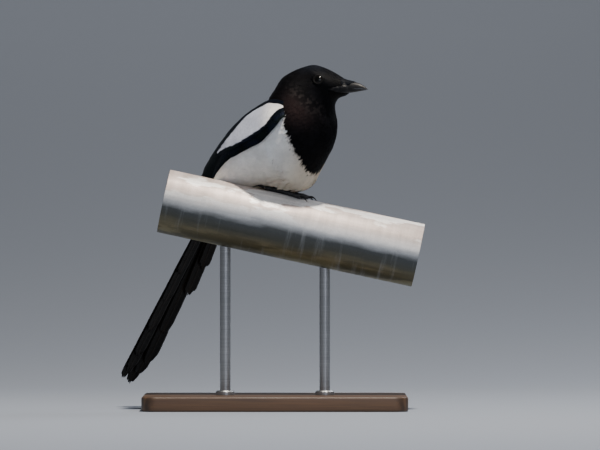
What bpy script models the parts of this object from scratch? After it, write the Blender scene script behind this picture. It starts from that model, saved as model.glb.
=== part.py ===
"""A life-size Eurasian magpie, perched on a cut length of steel pipe over a flat display base.

Metres, +Z up. The origin is the middle of the base's underside. The camera side is -Y, and the bird looks
towards +X. The bird's own frame has its origin between the feet: x forwards, y to its left, z up.
"""

import math

import bmesh
import bpy
import numpy as np
from mathutils import Vector
from mathutils.bvhtree import BVHTree

MM = 0.001
GAP = 0.3 * MM
WELD = 0.01 * MM
SHARP_ANGLE = math.radians(40)
MAX_MITRE = 1.5

# Stand
BASE_SIZE = (250 * MM, 160 * MM, 14 * MM)
BASE_CORNER_RADIUS = 14 * MM
BASE_EDGE_RADIUS = 2 * MM
ROD_RADIUS = 5 * MM
ROD_COLLAR_RADIUS = 9 * MM
ROD_COLLAR_HEIGHT = 4 * MM
ROD_X = (-47 * MM, 47 * MM)
ROD_SIDES = 24
BASE_CORNER_STEPS = 6

# Perch: a 2 inch steel pipe, 60.3 mm outside, which slopes down towards +X
PIPE_RADIUS = 30.15 * MM
PIPE_WALL = 4 * MM
PIPE_LENGTH = 246 * MM
PIPE_SLOPE = math.radians(12.1)
PIPE_SIDES = 40
PIPE_CHAMFER = 0.6 * MM
PLUG_DEPTH = 12 * MM
PERCH_Y = -10 * MM
ALONG_PIPE = (0, math.radians(90), 0)

# Bird: where its own frame stands, and how far it is turned towards the camera
FEET_X = 15 * MM
FEET_Z = 204 * MM
HEADING = math.radians(-37)
HEAD_YAW = math.radians(12)
YAW_PIVOT_X = 20 * MM
PIPE_TOP_UNDER_FEET = 1.5 * MM

# The trunk, from the tail's root to the bill's base: each row is a section, as the top point (x, z), the
# bottom point (x, z) and the half width, all in mm of the bird's frame.
TRUNK = np.array(
    [
        (-90, -4, -74, -13, 13),
        (-88, 8, -66, -11, 20),
        (-82, 23, -55, -8, 28),
        (-73, 39, -42, -3, 35),
        (-61, 55, -28, 2.5, 40),
        (-47, 70, -12, 5.5, 42),
        (-33, 80.5, 3, 6.5, 43),
        (-21, 87, 16.5, 7.0, 42.5),
        (-14, 92, 26.2, 19, 41),
        (-11.2, 97.6, 37, 33.5, 38.5),
        (-8.6, 102.4, 44.6, 48, 35),
        (-6, 106.8, 46.8, 61, 31),
        (-3, 110.4, 45.4, 73, 27),
        (2, 113.6, 45.6, 82, 23.2),
        (9, 116.8, 48, 87.5, 20),
        (17.6, 119.8, 51.5, 90.3, 17.8),
        (26, 121.3, 54.5, 91.4, 16.8),
        (35, 119.3, 57, 92, 15),
        (44, 115.6, 59, 92.5, 12.4),
        (52, 111.3, 60.6, 93, 9.6),
        (58, 108, 61.5, 93.4, 7.6),
    ]
)
# How much narrower the belly and the breast are below than an oval, by section
KEEL = ((0, 0), (3, 0.15), (5, 0.3), (9, 0.3), (12, 0))
NECK_START, NECK_END = 11.0, 13.4
NODE_SPLIT = 0.08  # share of a section step that keeps two lengths of the trunk apart
YAW_START, YAW_END = 8.0, 14.0
TRUNK_SIDES = 28

# The folded right wing: stations from the bend to the tip, each with its upper edge (x, y, z), its lower
# edge (x, y, z) and how far its middle bulges from the line between them, in mm of the bird's frame.
WING = np.array(
    [
        (19, -28, 85, 22, -35, 79, 2),
        (4, -22, 88, 12, -43, 64, 6),
        (-14, -17, 86.5, 0, -45, 53, 8),
        (-32, -15, 80, -15, -44.5, 46.5, 8.5),
        (-48, -15.5, 68.5, -31, -42.5, 41, 8),
        (-62, -16.5, 54.5, -46, -39, 33.5, 7),
        (-76, -17, 40, -60, -34, 23.5, 6),
        (-89, -17, 25, -74, -27, 11, 5),
        (-100, -14.5, 8, -88, -21, -4, 3.5),
        (-108, -11, -10, -100, -15.5, -19, 2),
        (-113, -8, -29, -111, -11, -31, 1),
    ]
)
WING_LIFT = 0.3 * MM
FEATHER_CLEAR = 1.2 * MM
# The slab under the feathers: the part of the sheet it fills, its depth, how far it stands clear of the
# trunk, and the stations over which it thins towards the tip
CORE_STATIONS = (0.2, 8.2)
CORE_ACROSS = (0.06, 0.9)
CORE_DEPTH = 4.5 * MM
CORE_CLEAR = 1.5 * MM
CORE_TAPER = (5.5, 8.5)
CORE_THINNEST = 0.25

# The wing's feathers, tier by tier from the lowest to the topmost. Each tier has its count, the root
# (station, across) and the tip (station, across) of its first and of its last feather, their width, and how
# far the roots are sunk and the tips raised, in mm.
WING_TIERS = {
    "primary": (5, (5.5, 0.94), (10.0, 0.74), (5.8, 0.5), (8.5, 0.26), 8, -1.1, 0.0),
    "secondary": (4, (4.1, 0.94), (7.9, 0.8), (4.2, 0.4), (6.9, 0.22), 10, -1.1, 0.2),
    "tertial": (2, (4.0, 0.3), (6.5, 0.24), (3.8, 0.12), (5.8, 0.08), 11, -1.0, 0.4),
    "primary_covert": (2, (3.3, 0.97), (5.7, 0.96), (3.2, 0.88), (5.3, 0.86), 7, -1.1, 0.25),
    "greater_covert": (3, (2.5, 0.95), (4.8, 0.95), (2.6, 0.65), (4.6, 0.62), 9.5, -1.1, 0.45),
    "lesser_covert": (2, (1.0, 0.95), (3.0, 0.96), (1.2, 0.78), (2.9, 0.8), 9, -1.0, 0.6),
    "scapular_long": (5, (2.8, 0.78), (5.2, 0.68), (2.7, 0.1), (5.1, 0.1), 12, -0.9, 0.85),
    "scapular_short": (5, (0.9, 0.74), (3.7, 0.78), (0.9, 0.12), (3.4, 0.1), 12.5, -0.9, 1.3),
}
FEATHER_THICKNESS = 0.6 * MM
FEATHER_OUTLINE = ((0, 0.7), (0.45, 1.0), (0.82, 0.9), (1, 0.35))
SHINGLE = 0.6 * MM

# The tail hangs from its root along its axis, 58.5 degrees below the level
TAIL_ROOT = (-83 * MM, -2.5 * MM, -0.9 * MM)
TAIL_SLOPE = math.radians(58.5)
# Its feathers on each side, from the middle pair, which lies on top, to the outermost: length, how far the
# root and the tip stand from the middle line, and width, in mm
TAIL_FEATHERS = {
    "left": (
        (211, 2, 1, 18),
        (201, 3.5, 6, 19),
        (188, 5, 10.5, 19),
        (152, 7, 10, 18),
        (109, 9, 18, 18),
        (78, 10, 19, 17),
    ),
    "right": (
        (204, 3, 15, 18),
        (195, 5, 12, 19),
        (179, 6, 12, 19),
        (150, 8, 12, 18),
        (116, 9, 12, 18),
        (84, 10, 12, 17),
    ),
}
TAIL_LAYER = 1.0 * MM
# How far down a side's middle feather and its others lie within their layers
TAIL_STAGGER = {"left": (0, 0), "right": (0.85, 0.16)}
TAIL_TILT = math.radians(3)
# The tail's coverts, as ovals: how far down the tail, half width and depth, in mm
TAIL_COVERTS = ((-8, 12, 7), (6, 16, 9.5), (16, 16, 8.5), (26, 13, 6.5), (33, 8, 4.5))

# The bill, in mm of the bird's frame before the head turns: x, ridge, mouth line, lower edge and half width
BILL = np.array(
    [
        (50, 105.2, 98.4, 95.4, 5.4),
        (57, 106.2, 98.6, 94.9, 5.9),
        (62, 106.0, 98.7, 94.9, 5.5),
        (68, 105.2, 98.8, 95.4, 4.6),
        (73.5, 103.8, 98.7, 96.3, 3.4),
        (78, 101.5, 98.4, 97.1, 2.1),
        (80.8, 99.4, 98.0, 97.5, 1.1),
        (82.2, 97.9, 97.5, 97.3, 0.45),
    ]
)
BILL_SIDES = 8
BILL_FULLNESS = 0.85
# Nasal bristles, as flat locks over the bill's base: the angle round the bill from its right edge over its
# ridge, and how far forwards each one ends, in degrees and mm
BRISTLES = ((28, 65), (58, 68), (90, 67.5), (122, 68), (152, 65))
BRISTLE_START = 51
BRISTLE_OUTLINE = ((0, 2.4), (0.5, 2.1), (0.85, 1.2), (1, 0.4))
LOWER_BILL_END = 79.95 * MM
# The slot that carries the mouth's line into the face: its middle's x, and its size
MOUTH_SLOT_X = 56 * MM
MOUTH_SLOT = (20 * MM, 30 * MM, 0.39 * MM)

# Eyes
EYE_SECTION = 15.9
EYE_ANGLE = math.radians(86)
EYE_RADIUS = 6.0 * MM
EYE_DEPTH = 4.4 * MM
LID_RADIUS = 4.5 * MM
LID_THICKNESS = 0.8 * MM

# Legs: the thigh's middle in the bird's frame, and each foot on the pipe, as the distance along it from
# under the feet's origin, the angle round it from its top towards the camera, and the turn, in mm and degrees.
THIGHS = {"right": (-7, -14.5, 10.5), "left": (-13, 12, 6)}
THIGH_SIZE = (13, 8, 8.5)
FEET = {"right": (-17, 6, -2), "left": (-12, -17, 16)}
ANKLE_BACK = 15 * MM
ANKLE_UP = 17 * MM
TARSUS_RADIUS = 2.3 * MM
TOE_RADIUS = 2.1 * MM
# A toe's thickness at its joints and between them, from its root, as a share of its radius
TOE_JOINTS = (1.15, 0.98, 1.1, 0.9, 1.0, 0.8)
FOOT_PAD = (3.3 * MM, 3 * MM, 2.6 * MM)
# A claw: how far before it the toe ends, its thickness at root and point, and how high it arches, in mm
CLAW_GAP = 0.8
CLAW_ROOT, CLAW_POINT = 1.35, 0.22
CLAW_RISE = 1.4
CLAW_STEPS = 6
# Toe name: spread from the foot's own turn (the hind toe's from the pipe), length and claw length, in
# degrees and mm
TOES = {"inner": (20, 20, 7), "middle": (0, 27, 8), "outer": (-19, 21, 7), "hind": (180, 15, 11)}

COLOURS = {
    "black_plumage": (0.008, 0.009, 0.012, 0.45, 0.0),
    "white_plumage": (0.78, 0.77, 0.74, 0.8, 0.0),
    "bill_horn": (0.018, 0.018, 0.02, 0.3, 0.0),
    "eye": (0.012, 0.007, 0.004, 0.08, 0.0),
    "leg_scales": (0.02, 0.02, 0.022, 0.5, 0.0),
    "galvanised_steel": (0.5, 0.49, 0.47, 0.45, 0.9),
    "plug_plastic": (0.1, 0.1, 0.1, 0.6, 0.0),
    "stand_steel": (0.45, 0.45, 0.45, 0.35, 1.0),
    "stand_board": (0.3, 0.3, 0.3, 0.5, 0.0),
}


def clear_scene():
    for obj in list(bpy.data.objects):
        bpy.data.objects.remove(obj)


def material(name):
    found = bpy.data.materials.get(name)
    if found:
        return found
    red, green, blue, roughness, metallic = COLOURS[name]
    made = bpy.data.materials.new(name)
    made.use_nodes = True
    shader = made.node_tree.nodes["Principled BSDF"]
    shader.inputs["Base Color"].default_value = (red, green, blue, 1)
    shader.inputs["Roughness"].default_value = roughness
    shader.inputs["Metallic"].default_value = metallic
    made.diffuse_color = (red, green, blue, 1)
    return made


def finished(obj, finish):
    """Turns an object's faces outwards, gives it its material and shades it smooth between its edges."""
    bm = bmesh.new()
    bm.from_mesh(obj.data)
    bmesh.ops.recalc_face_normals(bm, faces=bm.faces)
    bm.to_mesh(obj.data)
    bm.free()
    if finish:
        obj.data.materials.append(material(finish))
        obj.data.shade_smooth()
        obj.data.set_sharp_from_angle(angle=SHARP_ANGLE)
    return obj


def add_mesh(name, points, faces, finish, parent):
    mesh = bpy.data.meshes.new(name)
    mesh.from_pydata([tuple(map(float, p)) for p in points], [], faces)
    obj = bpy.data.objects.new(name, mesh)
    part.objects.link(obj)
    obj.parent = parent
    return finished(obj, finish)


def adopt(obj, name, finish, parent):
    """Names a primitive that an operator has just added and moves it to the part's collection."""
    for collection in list(obj.users_collection):
        collection.objects.unlink(obj)
    part.objects.link(obj)
    obj.name = name
    obj.data.name = name
    obj.data.materials.append(material(finish))
    obj.parent = parent
    return obj


def through(table, steps):
    """Rows of a table at fractional positions, on a smooth curve through its rows."""
    steps = np.clip(np.asarray(steps, float), 0, len(table) - 1)
    start = np.minimum(steps.astype(int), len(table) - 2)
    share = (steps - start)[:, None]
    padded = np.vstack([2 * table[0] - table[1], table, 2 * table[-1] - table[-2]])
    a, b, c, d = (padded[start + i] for i in range(4))
    return 0.5 * (
        2 * b
        + (c - a) * share
        + (2 * a - 5 * b + 4 * c - d) * share**2
        + (3 * b - a - 3 * c + d) * share**3
    )


def smoothstep(value):
    value = np.clip(value, 0, 1)
    return value * value * (3 - 2 * value)


def turned(points, share):
    """Points of the bird's frame, turned with the head by a share of its yaw."""
    angle = HEAD_YAW * share
    x = points[..., 0] - YAW_PIVOT_X
    y = points[..., 1]
    return np.stack(
        [
            YAW_PIVOT_X + x * np.cos(angle) - y * np.sin(angle),
            x * np.sin(angle) + y * np.cos(angle),
            points[..., 2],
        ],
        axis=-1,
    )


def trunk_ring(step, sides=TRUNK_SIDES):
    """One section of the trunk: a closed oval through its top and bottom points."""
    top_x, top_z, low_x, low_z, half_width = through(TRUNK, [step])[0] * MM
    angle = np.arange(sides) * 2 * math.pi / sides
    up = np.cos(angle)
    keel = 1 - np.interp(step, *zip(*KEEL)) * ((1 - up) / 2) ** 4
    points = np.stack(
        [
            (top_x + low_x) / 2 + (top_x - low_x) / 2 * up,
            -half_width * np.sin(angle) * keel,
            (top_z + low_z) / 2 + (top_z - low_z) / 2 * up,
        ],
        axis=-1,
    )
    return turned(points, smoothstep((step - YAW_START) / (YAW_END - YAW_START)))


def trunk_point(step, angle):
    """The trunk's surface at a section and an angle round it, to the nearest degree."""
    ring = trunk_ring(step, 360)
    return ring[int(round(math.degrees(angle))) % 360]


def loft(name, rings, finish, parent):
    """A closed solid through rings of equal length, with each end filled as a fan."""
    sides = len(rings[0])
    points = [p for ring in rings for p in ring]
    faces = []
    for i in range(len(rings) - 1):
        for j in range(sides):
            k = (j + 1) % sides
            faces.append((i * sides + j, i * sides + k, (i + 1) * sides + k, (i + 1) * sides + j))
    for ring, first in ((rings[0], 0), (rings[-1], (len(rings) - 1) * sides)):
        middle = len(points)
        points.append(np.mean(ring, axis=0))
        faces += [(middle, first + j, first + (j + 1) % sides) for j in range(sides)]
    return add_mesh(name, points, faces, finish, parent)


def vane(name, rings):
    """A feather: a thin blade of four-cornered sections, whose two faces are split into triangles alike."""
    faces = [(0, 1, 2), (0, 2, 3)]
    for i in range(0, 4 * (len(rings) - 1), 4):
        j = i + 4
        faces += [(i, i + 1, j + 1), (i, j + 1, j), (i + 3, j + 2, i + 2), (i + 3, j + 3, j + 2)]
        faces += [(i + 1, i + 2, j + 2), (i + 1, j + 2, j + 1), (i, j, j + 3), (i, j + 3, i + 3)]
    last = 4 * (len(rings) - 1)
    faces += [(last, last + 2, last + 1), (last, last + 3, last + 2)]
    return add_mesh(name, np.concatenate(rings), faces, None, bird)


def unit(vector):
    return vector / np.linalg.norm(vector)


def evaluated_copy(obj):
    graph = bpy.context.evaluated_depsgraph_get()
    return bpy.data.meshes.new_from_object(obj.evaluated_get(graph))


def apply_modifiers(obj):
    bpy.context.view_layer.update()
    mesh = evaluated_copy(obj)
    obj.modifiers.clear()
    obj.data = mesh


def keep_largest(obj):
    """Drops every closed surface of the node but the one with the largest box."""
    bm = bmesh.new()
    bm.from_mesh(obj.data)
    left = set(bm.verts)
    islands = []
    while left:
        island = {left.pop()}
        front = list(island)
        while front:
            for edge in front.pop().link_edges:
                for vert in edge.verts:
                    if vert in left:
                        left.discard(vert)
                        island.add(vert)
                        front.append(vert)
        islands.append(island)

    def spread(island):
        places = np.array([v.co for v in island])
        return float(np.linalg.norm(places.max(0) - places.min(0)))

    islands.sort(key=spread)
    scraps = [v for island in islands[:-1] for v in island]
    bmesh.ops.delete(bm, geom=scraps, context="VERTS")
    bm.to_mesh(obj.data)
    bm.free()


def boolean(obj, others, operation, solver="EXACT"):
    """One Boolean with a collection of closed meshes, which is applied before the meshes are removed."""
    tools = bpy.data.collections.new(obj.name + "_tools")
    bpy.context.scene.collection.children.link(tools)
    for other in others:
        part.objects.unlink(other)
        tools.objects.link(other)
    modifier = obj.modifiers.new(operation.lower(), "BOOLEAN")
    modifier.operation = operation
    modifier.operand_type = "COLLECTION"
    modifier.collection = tools
    modifier.solver = solver
    apply_modifiers(obj)
    for other in others:
        bpy.data.objects.remove(other)
    bpy.data.collections.remove(tools)
    keep_largest(obj)


def swollen(obj, by):
    """A copy of an object with its surface moved out, to cut its neighbour with a gap between them."""
    copy = obj.copy()
    copy.data = obj.data.copy()
    part.objects.link(copy)
    bm = bmesh.new()
    bm.from_mesh(copy.data)
    bmesh.ops.remove_doubles(bm, verts=bm.verts, dist=WELD)
    bm.normal_update()
    moves = [(v, v.normal * by * min(v.calc_shell_factor(), MAX_MITRE)) for v in bm.verts]
    for vert, move in moves:
        vert.co += move
    bm.to_mesh(copy.data)
    bm.free()
    return copy


def ball(name, centre, size, finish, parent, segments=24, rings=14):
    """An ellipsoid with its poles along z, of half sizes size."""
    bpy.ops.mesh.primitive_uv_sphere_add(segments=segments, ring_count=rings, radius=1)
    obj = adopt(bpy.context.object, name, finish, parent)
    for vert in obj.data.vertices:
        vert.co = Vector(centre) + Vector([c * s for c, s in zip(vert.co, size)])
    return obj


def build_stand():
    length, depth, height = BASE_SIZE
    bpy.ops.mesh.primitive_cube_add(size=1, location=(0, 0, 0))
    base = adopt(bpy.context.object, "stand_base", "stand_board", None)
    for vert in base.data.vertices:
        vert.co = (vert.co.x * length, vert.co.y * depth, (vert.co.z + 0.5) * height)
    bm = bmesh.new()
    bm.from_mesh(base.data)
    upright = [e for e in bm.edges if abs(e.verts[0].co.z - e.verts[1].co.z) > height / 2]
    bmesh.ops.bevel(
        bm,
        geom=upright,
        offset=BASE_CORNER_RADIUS,
        segments=BASE_CORNER_STEPS,
        profile=0.5,
        affect="EDGES",
    )
    rim = [e for e in bm.edges if min(v.co.z for v in e.verts) > height - MM / 10]
    rim = [e for e in rim if any(abs(f.normal.z) < 0.5 for f in e.link_faces)]
    bmesh.ops.bevel(bm, geom=rim, offset=BASE_EDGE_RADIUS, segments=2, profile=0.5, affect="EDGES")
    bm.to_mesh(base.data)
    bm.free()
    for side, x in zip(("left", "right"), ROD_X):
        build_rod("stand_rod_" + side, x, height + GAP)


def turned_shape(name, outline, sides, finish, parent):
    """A solid turned about z from an outline of (radius, z) pairs, closed or with both ends on the axis."""
    mesh = bpy.data.meshes.new(name)
    edges = [(i, i + 1) for i in range(len(outline) - 1)]
    if outline[0][0] > 0:
        edges.append((len(outline) - 1, 0))
    mesh.from_pydata([(radius, 0, z) for radius, z in outline], edges, [])
    obj = bpy.data.objects.new(name, mesh)
    part.objects.link(obj)
    obj.parent = parent
    screw = obj.modifiers.new("turn", "SCREW")
    screw.axis = "Z"
    screw.steps = screw.render_steps = sides
    screw.use_merge_vertices = True
    screw.merge_threshold = WELD
    apply_modifiers(obj)
    return finished(obj, finish)


def build_rod(name, x, foot):
    """A turned rod with a collar at its foot, whose top is cut to fit under the pipe."""
    top = FEET_Z - foot - PIPE_RADIUS
    outline = [
        (0, top),
        (ROD_RADIUS, top),
        (ROD_RADIUS, ROD_COLLAR_HEIGHT),
        (ROD_COLLAR_RADIUS * 0.85, ROD_COLLAR_HEIGHT),
        (ROD_COLLAR_RADIUS, ROD_COLLAR_HEIGHT * 0.7),
        (ROD_COLLAR_RADIUS, 0),
        (0, 0),
    ]
    rod = turned_shape(name, outline, ROD_SIDES, "stand_steel", None)
    rod.location = (x, PERCH_Y, foot)
    boolean(rod, [pipe_cutter()], "DIFFERENCE")


def pipe_cutter():
    """The pipe's outer cylinder, swollen by the gap."""
    bpy.ops.mesh.primitive_cylinder_add(vertices=96, radius=PIPE_RADIUS + GAP, depth=PIPE_LENGTH * 1.5)
    cutter = adopt(bpy.context.object, "pipe_cutter", "galvanised_steel", perch)
    cutter.rotation_euler = ALONG_PIPE
    bpy.context.view_layer.update()
    return cutter


def build_perch():
    outer, bore, half = PIPE_RADIUS, PIPE_RADIUS - PIPE_WALL, PIPE_LENGTH / 2
    outline = [
        (outer, half - PIPE_CHAMFER),
        (outer, PIPE_CHAMFER - half),
        (outer - PIPE_CHAMFER, -half),
        (bore, -half),
        (bore, half),
        (outer - PIPE_CHAMFER, half),
    ]
    pipe = turned_shape("perch_pipe", outline, PIPE_SIDES, "galvanised_steel", perch)
    pipe.rotation_euler = ALONG_PIPE
    for side, sign in (("left", -1), ("right", 1)):
        bpy.ops.mesh.primitive_cylinder_add(vertices=PIPE_SIDES, radius=bore - GAP, depth=PLUG_DEPTH)
        plug = adopt(bpy.context.object, "perch_plug_" + side, "plug_plastic", perch)
        plug.rotation_euler = ALONG_PIPE
        plug.location = (sign * (half - PLUG_DEPTH / 2), 0, 0)


def trunk_rings(start, end, count):
    return [trunk_ring(step) for step in np.linspace(start, end, count)]


def build_trunk():
    """Torso, neck and head as three lengths of one trunk, a gap apart."""
    torso = loft("torso", trunk_rings(0, NECK_START - NODE_SPLIT, 20), "white_plumage", bird)
    boolean(torso, [pipe_cutter()], "DIFFERENCE")
    loft("neck", trunk_rings(NECK_START, NECK_END - NODE_SPLIT, 5), "black_plumage", bird)
    head = loft("head", trunk_rings(NECK_END, len(TRUNK) - 1, 13), "black_plumage", bird)
    return torso, head


def bill_half(name, upper):
    rows = through(BILL, np.linspace(0, len(BILL) - 1, 10)) * MM
    if not upper:
        rows = rows[rows[:, 0] < LOWER_BILL_END]
    rings = []
    for x, ridge, mouth, low, half_width in rows:
        edge = mouth + GAP / 2 if upper else mouth - GAP / 2
        far = ridge if upper else low
        angle = np.linspace(0, math.pi, BILL_SIDES + 1)
        y = half_width * np.cos(angle)
        z = edge + (far - edge) * np.sin(angle) ** BILL_FULLNESS
        rings.append(turned(np.stack([np.full(len(y), x), y, z], axis=-1), 1))
    return loft(name, rings, "bill_horn", bird)


def bristle(angle, end):
    """A lock that lies on the upper bill, from inside the face to its tip."""
    rings = []
    for share, half_width in BRISTLE_OUTLINE:
        x = (BRISTLE_START + (end - BRISTLE_START) * share) * MM
        column = np.interp(x, BILL[:, 0] * MM, np.arange(len(BILL)))
        _, ridge, mouth, _, breadth = through(BILL, [column])[0] * MM
        middle = np.array([x, 0, mouth])
        reach = np.array([0, -breadth * math.cos(angle), (ridge - mouth) * math.sin(angle) ** BILL_FULLNESS])
        out = unit(reach)
        aside = np.cross(out, [1, 0, 0]) * half_width * MM
        centre = middle + reach + out * (0.75 - 0.15 * share) * MM
        face = out * (0.55 - 0.25 * share) * MM
        rings.append(turned(centre + np.array([face - aside, face + aside, aside - face, -aside - face]), 1))
    return vane("bristle", rings)


def mouth_cutter():
    """A thin slot that carries the line of the mouth back from the bill into the face."""
    bpy.ops.mesh.primitive_cube_add(size=1)
    slot = adopt(bpy.context.object, "mouth_slot", "black_plumage", bird)
    middle = np.array([MOUTH_SLOT_X, 0, BILL[0][2] * MM])
    corners = middle + np.array([v.co for v in slot.data.vertices]) * MOUTH_SLOT
    for vert, place in zip(slot.data.vertices, turned(corners, 1)):
        vert.co = place
    return slot


def eye_place(side):
    """An eye's place on the head's surface and the way it looks out."""
    mirror = {"right": 1, "left": -1}[side]
    angle = EYE_ANGLE * mirror
    place = trunk_point(EYE_SECTION, angle)
    along = trunk_point(EYE_SECTION + 0.5, angle) - trunk_point(EYE_SECTION - 0.5, angle)
    around = trunk_point(EYE_SECTION, angle + 0.1) - trunk_point(EYE_SECTION, angle - 0.1)
    out = unit(np.cross(along, around))
    if out[1] * mirror > 0:
        out = -out
    return Vector(place), Vector(out)


def build_head(head):
    upper = bill_half("bill_upper", True)
    lower = bill_half("bill_lower", False)
    lids, sockets = [], []
    for side in ("right", "left"):
        place, out = eye_place(side)
        turn = Vector((0, 0, 1)).rotation_difference(out).to_matrix().to_4x4()
        bpy.ops.mesh.primitive_torus_add(
            major_radius=LID_RADIUS, minor_radius=LID_THICKNESS, major_segments=18, minor_segments=6
        )
        lid = adopt(bpy.context.object, "lid_" + side, "black_plumage", bird)
        lid.data.transform(turn)
        for vert in lid.data.vertices:
            vert.co += place
        lids.append(lid)
        eye = ball("eye_" + side, (0, 0, 0), (EYE_RADIUS,) * 3, "eye", bird, 16, 9)
        eye.data.transform(turn)
        for vert in eye.data.vertices:
            vert.co += place - out * EYE_DEPTH
        sockets.append(swollen(eye, GAP))
    locks = [bristle(math.radians(angle), end) for angle, end in BRISTLES]
    boolean(head, lids + locks, "UNION", "MANIFOLD")
    cutters = sockets + [swollen(upper, GAP), swollen(lower, GAP), mouth_cutter()]
    boolean(head, cutters, "DIFFERENCE", "MANIFOLD")


def wing_point(station, across):
    """A point of the right wing's sheet and the way it faces: across runs from its upper to its lower edge."""
    row = through(WING, [station])[0] * MM
    upper, lower, bulge = row[:3], row[3:6], row[6]
    middle = upper + (lower - upper) * across
    station = min(station, len(WING) - 1)
    ahead = through(WING, [station + 0.2])[0][:6] - through(WING, [station - 0.2])[0][:6]
    along = ahead[:3] + ahead[3:6]
    out = unit(np.cross(along, lower - upper))
    if out[1] > 0:
        out = -out
    return middle + out * bulge * 4 * across * (1 - across), out


def wing_core(side):
    """The wing under its feathers: a slab along the sheet, sunk into the trunk."""
    rings = []
    for station in np.linspace(*CORE_STATIONS, 12):
        outer, inner = [], []
        taper = smoothstep((station - CORE_TAPER[0]) / (CORE_TAPER[1] - CORE_TAPER[0]))
        thinning = 1 - (1 - CORE_THINNEST) * taper
        for across in np.linspace(*CORE_ACROSS, 6):
            place, out = wing_point(station, across)
            place = lay(place, CORE_CLEAR)
            outer.append(place)
            inner.append(place - out * CORE_DEPTH * thinning * (0.45 + 2.2 * across * (1 - across)))
        rings.append(mirrored(np.array(outer + inner[::-1]), side))
    return loft("wing_" + side, rings, "black_plumage", bird)


def mirrored(points, side):
    return points * (1, -1, 1) if side == "left" else points


def wing_feather(name, side, root, tip, width, sink, rise):
    """One feather on the wing's sheet, its root sunk, its tip raised and its lower edge over the next."""
    rings = []
    for share, breadth in FEATHER_OUTLINE:
        station, across = (a + (b - a) * share for a, b in zip(root, tip))
        breadth_step = wing_point(station, across + 0.05)[0] - wing_point(station, across - 0.05)[0]
        half = width * MM / 2 * breadth * 0.1 / np.linalg.norm(breadth_step)
        lift = WING_LIFT + (sink + (rise - sink) * share**0.6) * MM
        ring = []
        for edge, face in ((-1, 1), (1, 1), (1, -1), (-1, -1)):
            place, out = wing_point(station, across + edge * half)
            height = lift + edge * SHINGLE * breadth + face * FEATHER_THICKNESS / 2
            ring.append(lay(place, FEATHER_CLEAR) + out * height)
        rings.append(mirrored(np.array(ring), side))
    return vane(name, rings)


def build_wing(side, torso_shape):
    jitter = np.random.default_rng({"right": 11, "left": 12}[side])
    wing = wing_core(side)
    feathers = []
    for tier, (count, root_a, tip_a, root_b, tip_b, width, sink, rise) in WING_TIERS.items():
        for i in range(count):
            share = i / (count - 1)
            root = [a + (b - a) * share for a, b in zip(root_a, root_b)]
            tip = [a + (b - a) * share for a, b in zip(tip_a, tip_b)]
            tip[0] += jitter.uniform(-0.08, 0.08)
            tip[1] += jitter.uniform(-0.015, 0.015)
            lift = rise + 0.12 * share + jitter.uniform(-0.04, 0.04)
            feathers.append(wing_feather(f"{tier}_{i}", side, root, tip, width, sink, lift))
    boolean(wing, feathers, "UNION", "MANIFOLD")
    boolean(wing, [swollen(torso_shape, GAP)], "DIFFERENCE", "MANIFOLD")


def lay(place, lift):
    """A point moved out, where needed, to stand at least lift above the trunk."""
    spot, normal, _, _ = trunk_tree.find_nearest(Vector(place))
    off = (Vector(place) - spot).dot(normal)
    return np.array(spot + normal * lift) if off < lift else np.array(place)


def trunk_guide():
    """A finer copy of the whole trunk, which the feathers are laid on."""
    rings = [trunk_ring(step, 64) for step in np.linspace(0, len(TRUNK) - 1, 81)]
    guide = loft("trunk_guide", rings, None, bird)
    tree = BVHTree.FromObject(guide, bpy.context.evaluated_depsgraph_get())
    bpy.data.objects.remove(guide)
    return tree


def build_tail():
    """The tail: twelve feathers in layers, the middle pair on top, whose roots are held in their coverts."""
    back = np.array([-math.cos(TAIL_SLOPE), 0, -math.sin(TAIL_SLOPE)])
    top = np.array([-math.sin(TAIL_SLOPE), 0, math.cos(TAIL_SLOPE)])
    across = np.array([0.0, 1.0, 0.0])
    angle = np.arange(10) * 2 * math.pi / 10
    rings = []
    for reach, half_width, depth in TAIL_COVERTS:
        centre = np.array(TAIL_ROOT) + back * reach * MM - top * 2.5 * TAIL_LAYER
        oval = np.outer(np.cos(angle) * half_width, across) + np.outer(np.sin(angle) * depth / 2, top)
        rings.append(centre + oval * MM)
    tail = loft("tail", rings, "black_plumage", bird)
    feathers = []
    for side, mirror in (("left", 1), ("right", -1)):
        for i, (length, root, tip, width) in enumerate(TAIL_FEATHERS[side]):
            layer = i + TAIL_STAGGER[side][min(i, 1)]
            line = unit(back * length * MM + across * mirror * (tip - root) * MM)
            tilted = unit(across * mirror * math.cos(TAIL_TILT) - top * math.sin(TAIL_TILT))
            out = unit(np.cross(line, tilted)) * -mirror
            rings = []
            for share, breadth in FEATHER_OUTLINE:
                offset = mirror * (root + (tip - root) * share)
                centre = np.array(TAIL_ROOT) + back * (4 + (length - 4) * share) * MM + across * offset * MM
                drop = (layer - 0.5) * TAIL_LAYER + abs(offset) * MM * math.tan(TAIL_TILT)
                half = tilted * width * MM / 2 * breadth
                face = out * FEATHER_THICKNESS / 2
                corners = np.array([face - half, face + half, half - face, -half - face])
                rings.append(centre - top * drop + corners)
            feathers.append(vane(f"tail_{side}_{i}", rings))
    boolean(tail, feathers, "UNION", "MANIFOLD")
    return tail


def pipe_place(along, angle, lift):
    """A point over the pipe in the perch's frame: along it, and round it from its top to the camera side."""
    radius = PIPE_RADIUS + lift
    return np.array([along, -radius * math.sin(angle), radius * math.cos(angle)])


def toe_path(foot, heading, length, count, start=0.0):
    """Points along a toe from its root, at the toe's middle height over the pipe."""
    along, angle, turn = foot
    aim = math.radians(heading if abs(heading) > 90 else turn + heading)
    places = []
    for reach in np.linspace(start, length, count):
        arc = reach * MM
        places.append(
            (
                along * MM + arc * math.cos(aim),
                math.radians(angle) - arc * math.sin(aim) / PIPE_RADIUS,
            )
        )
    return places


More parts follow.
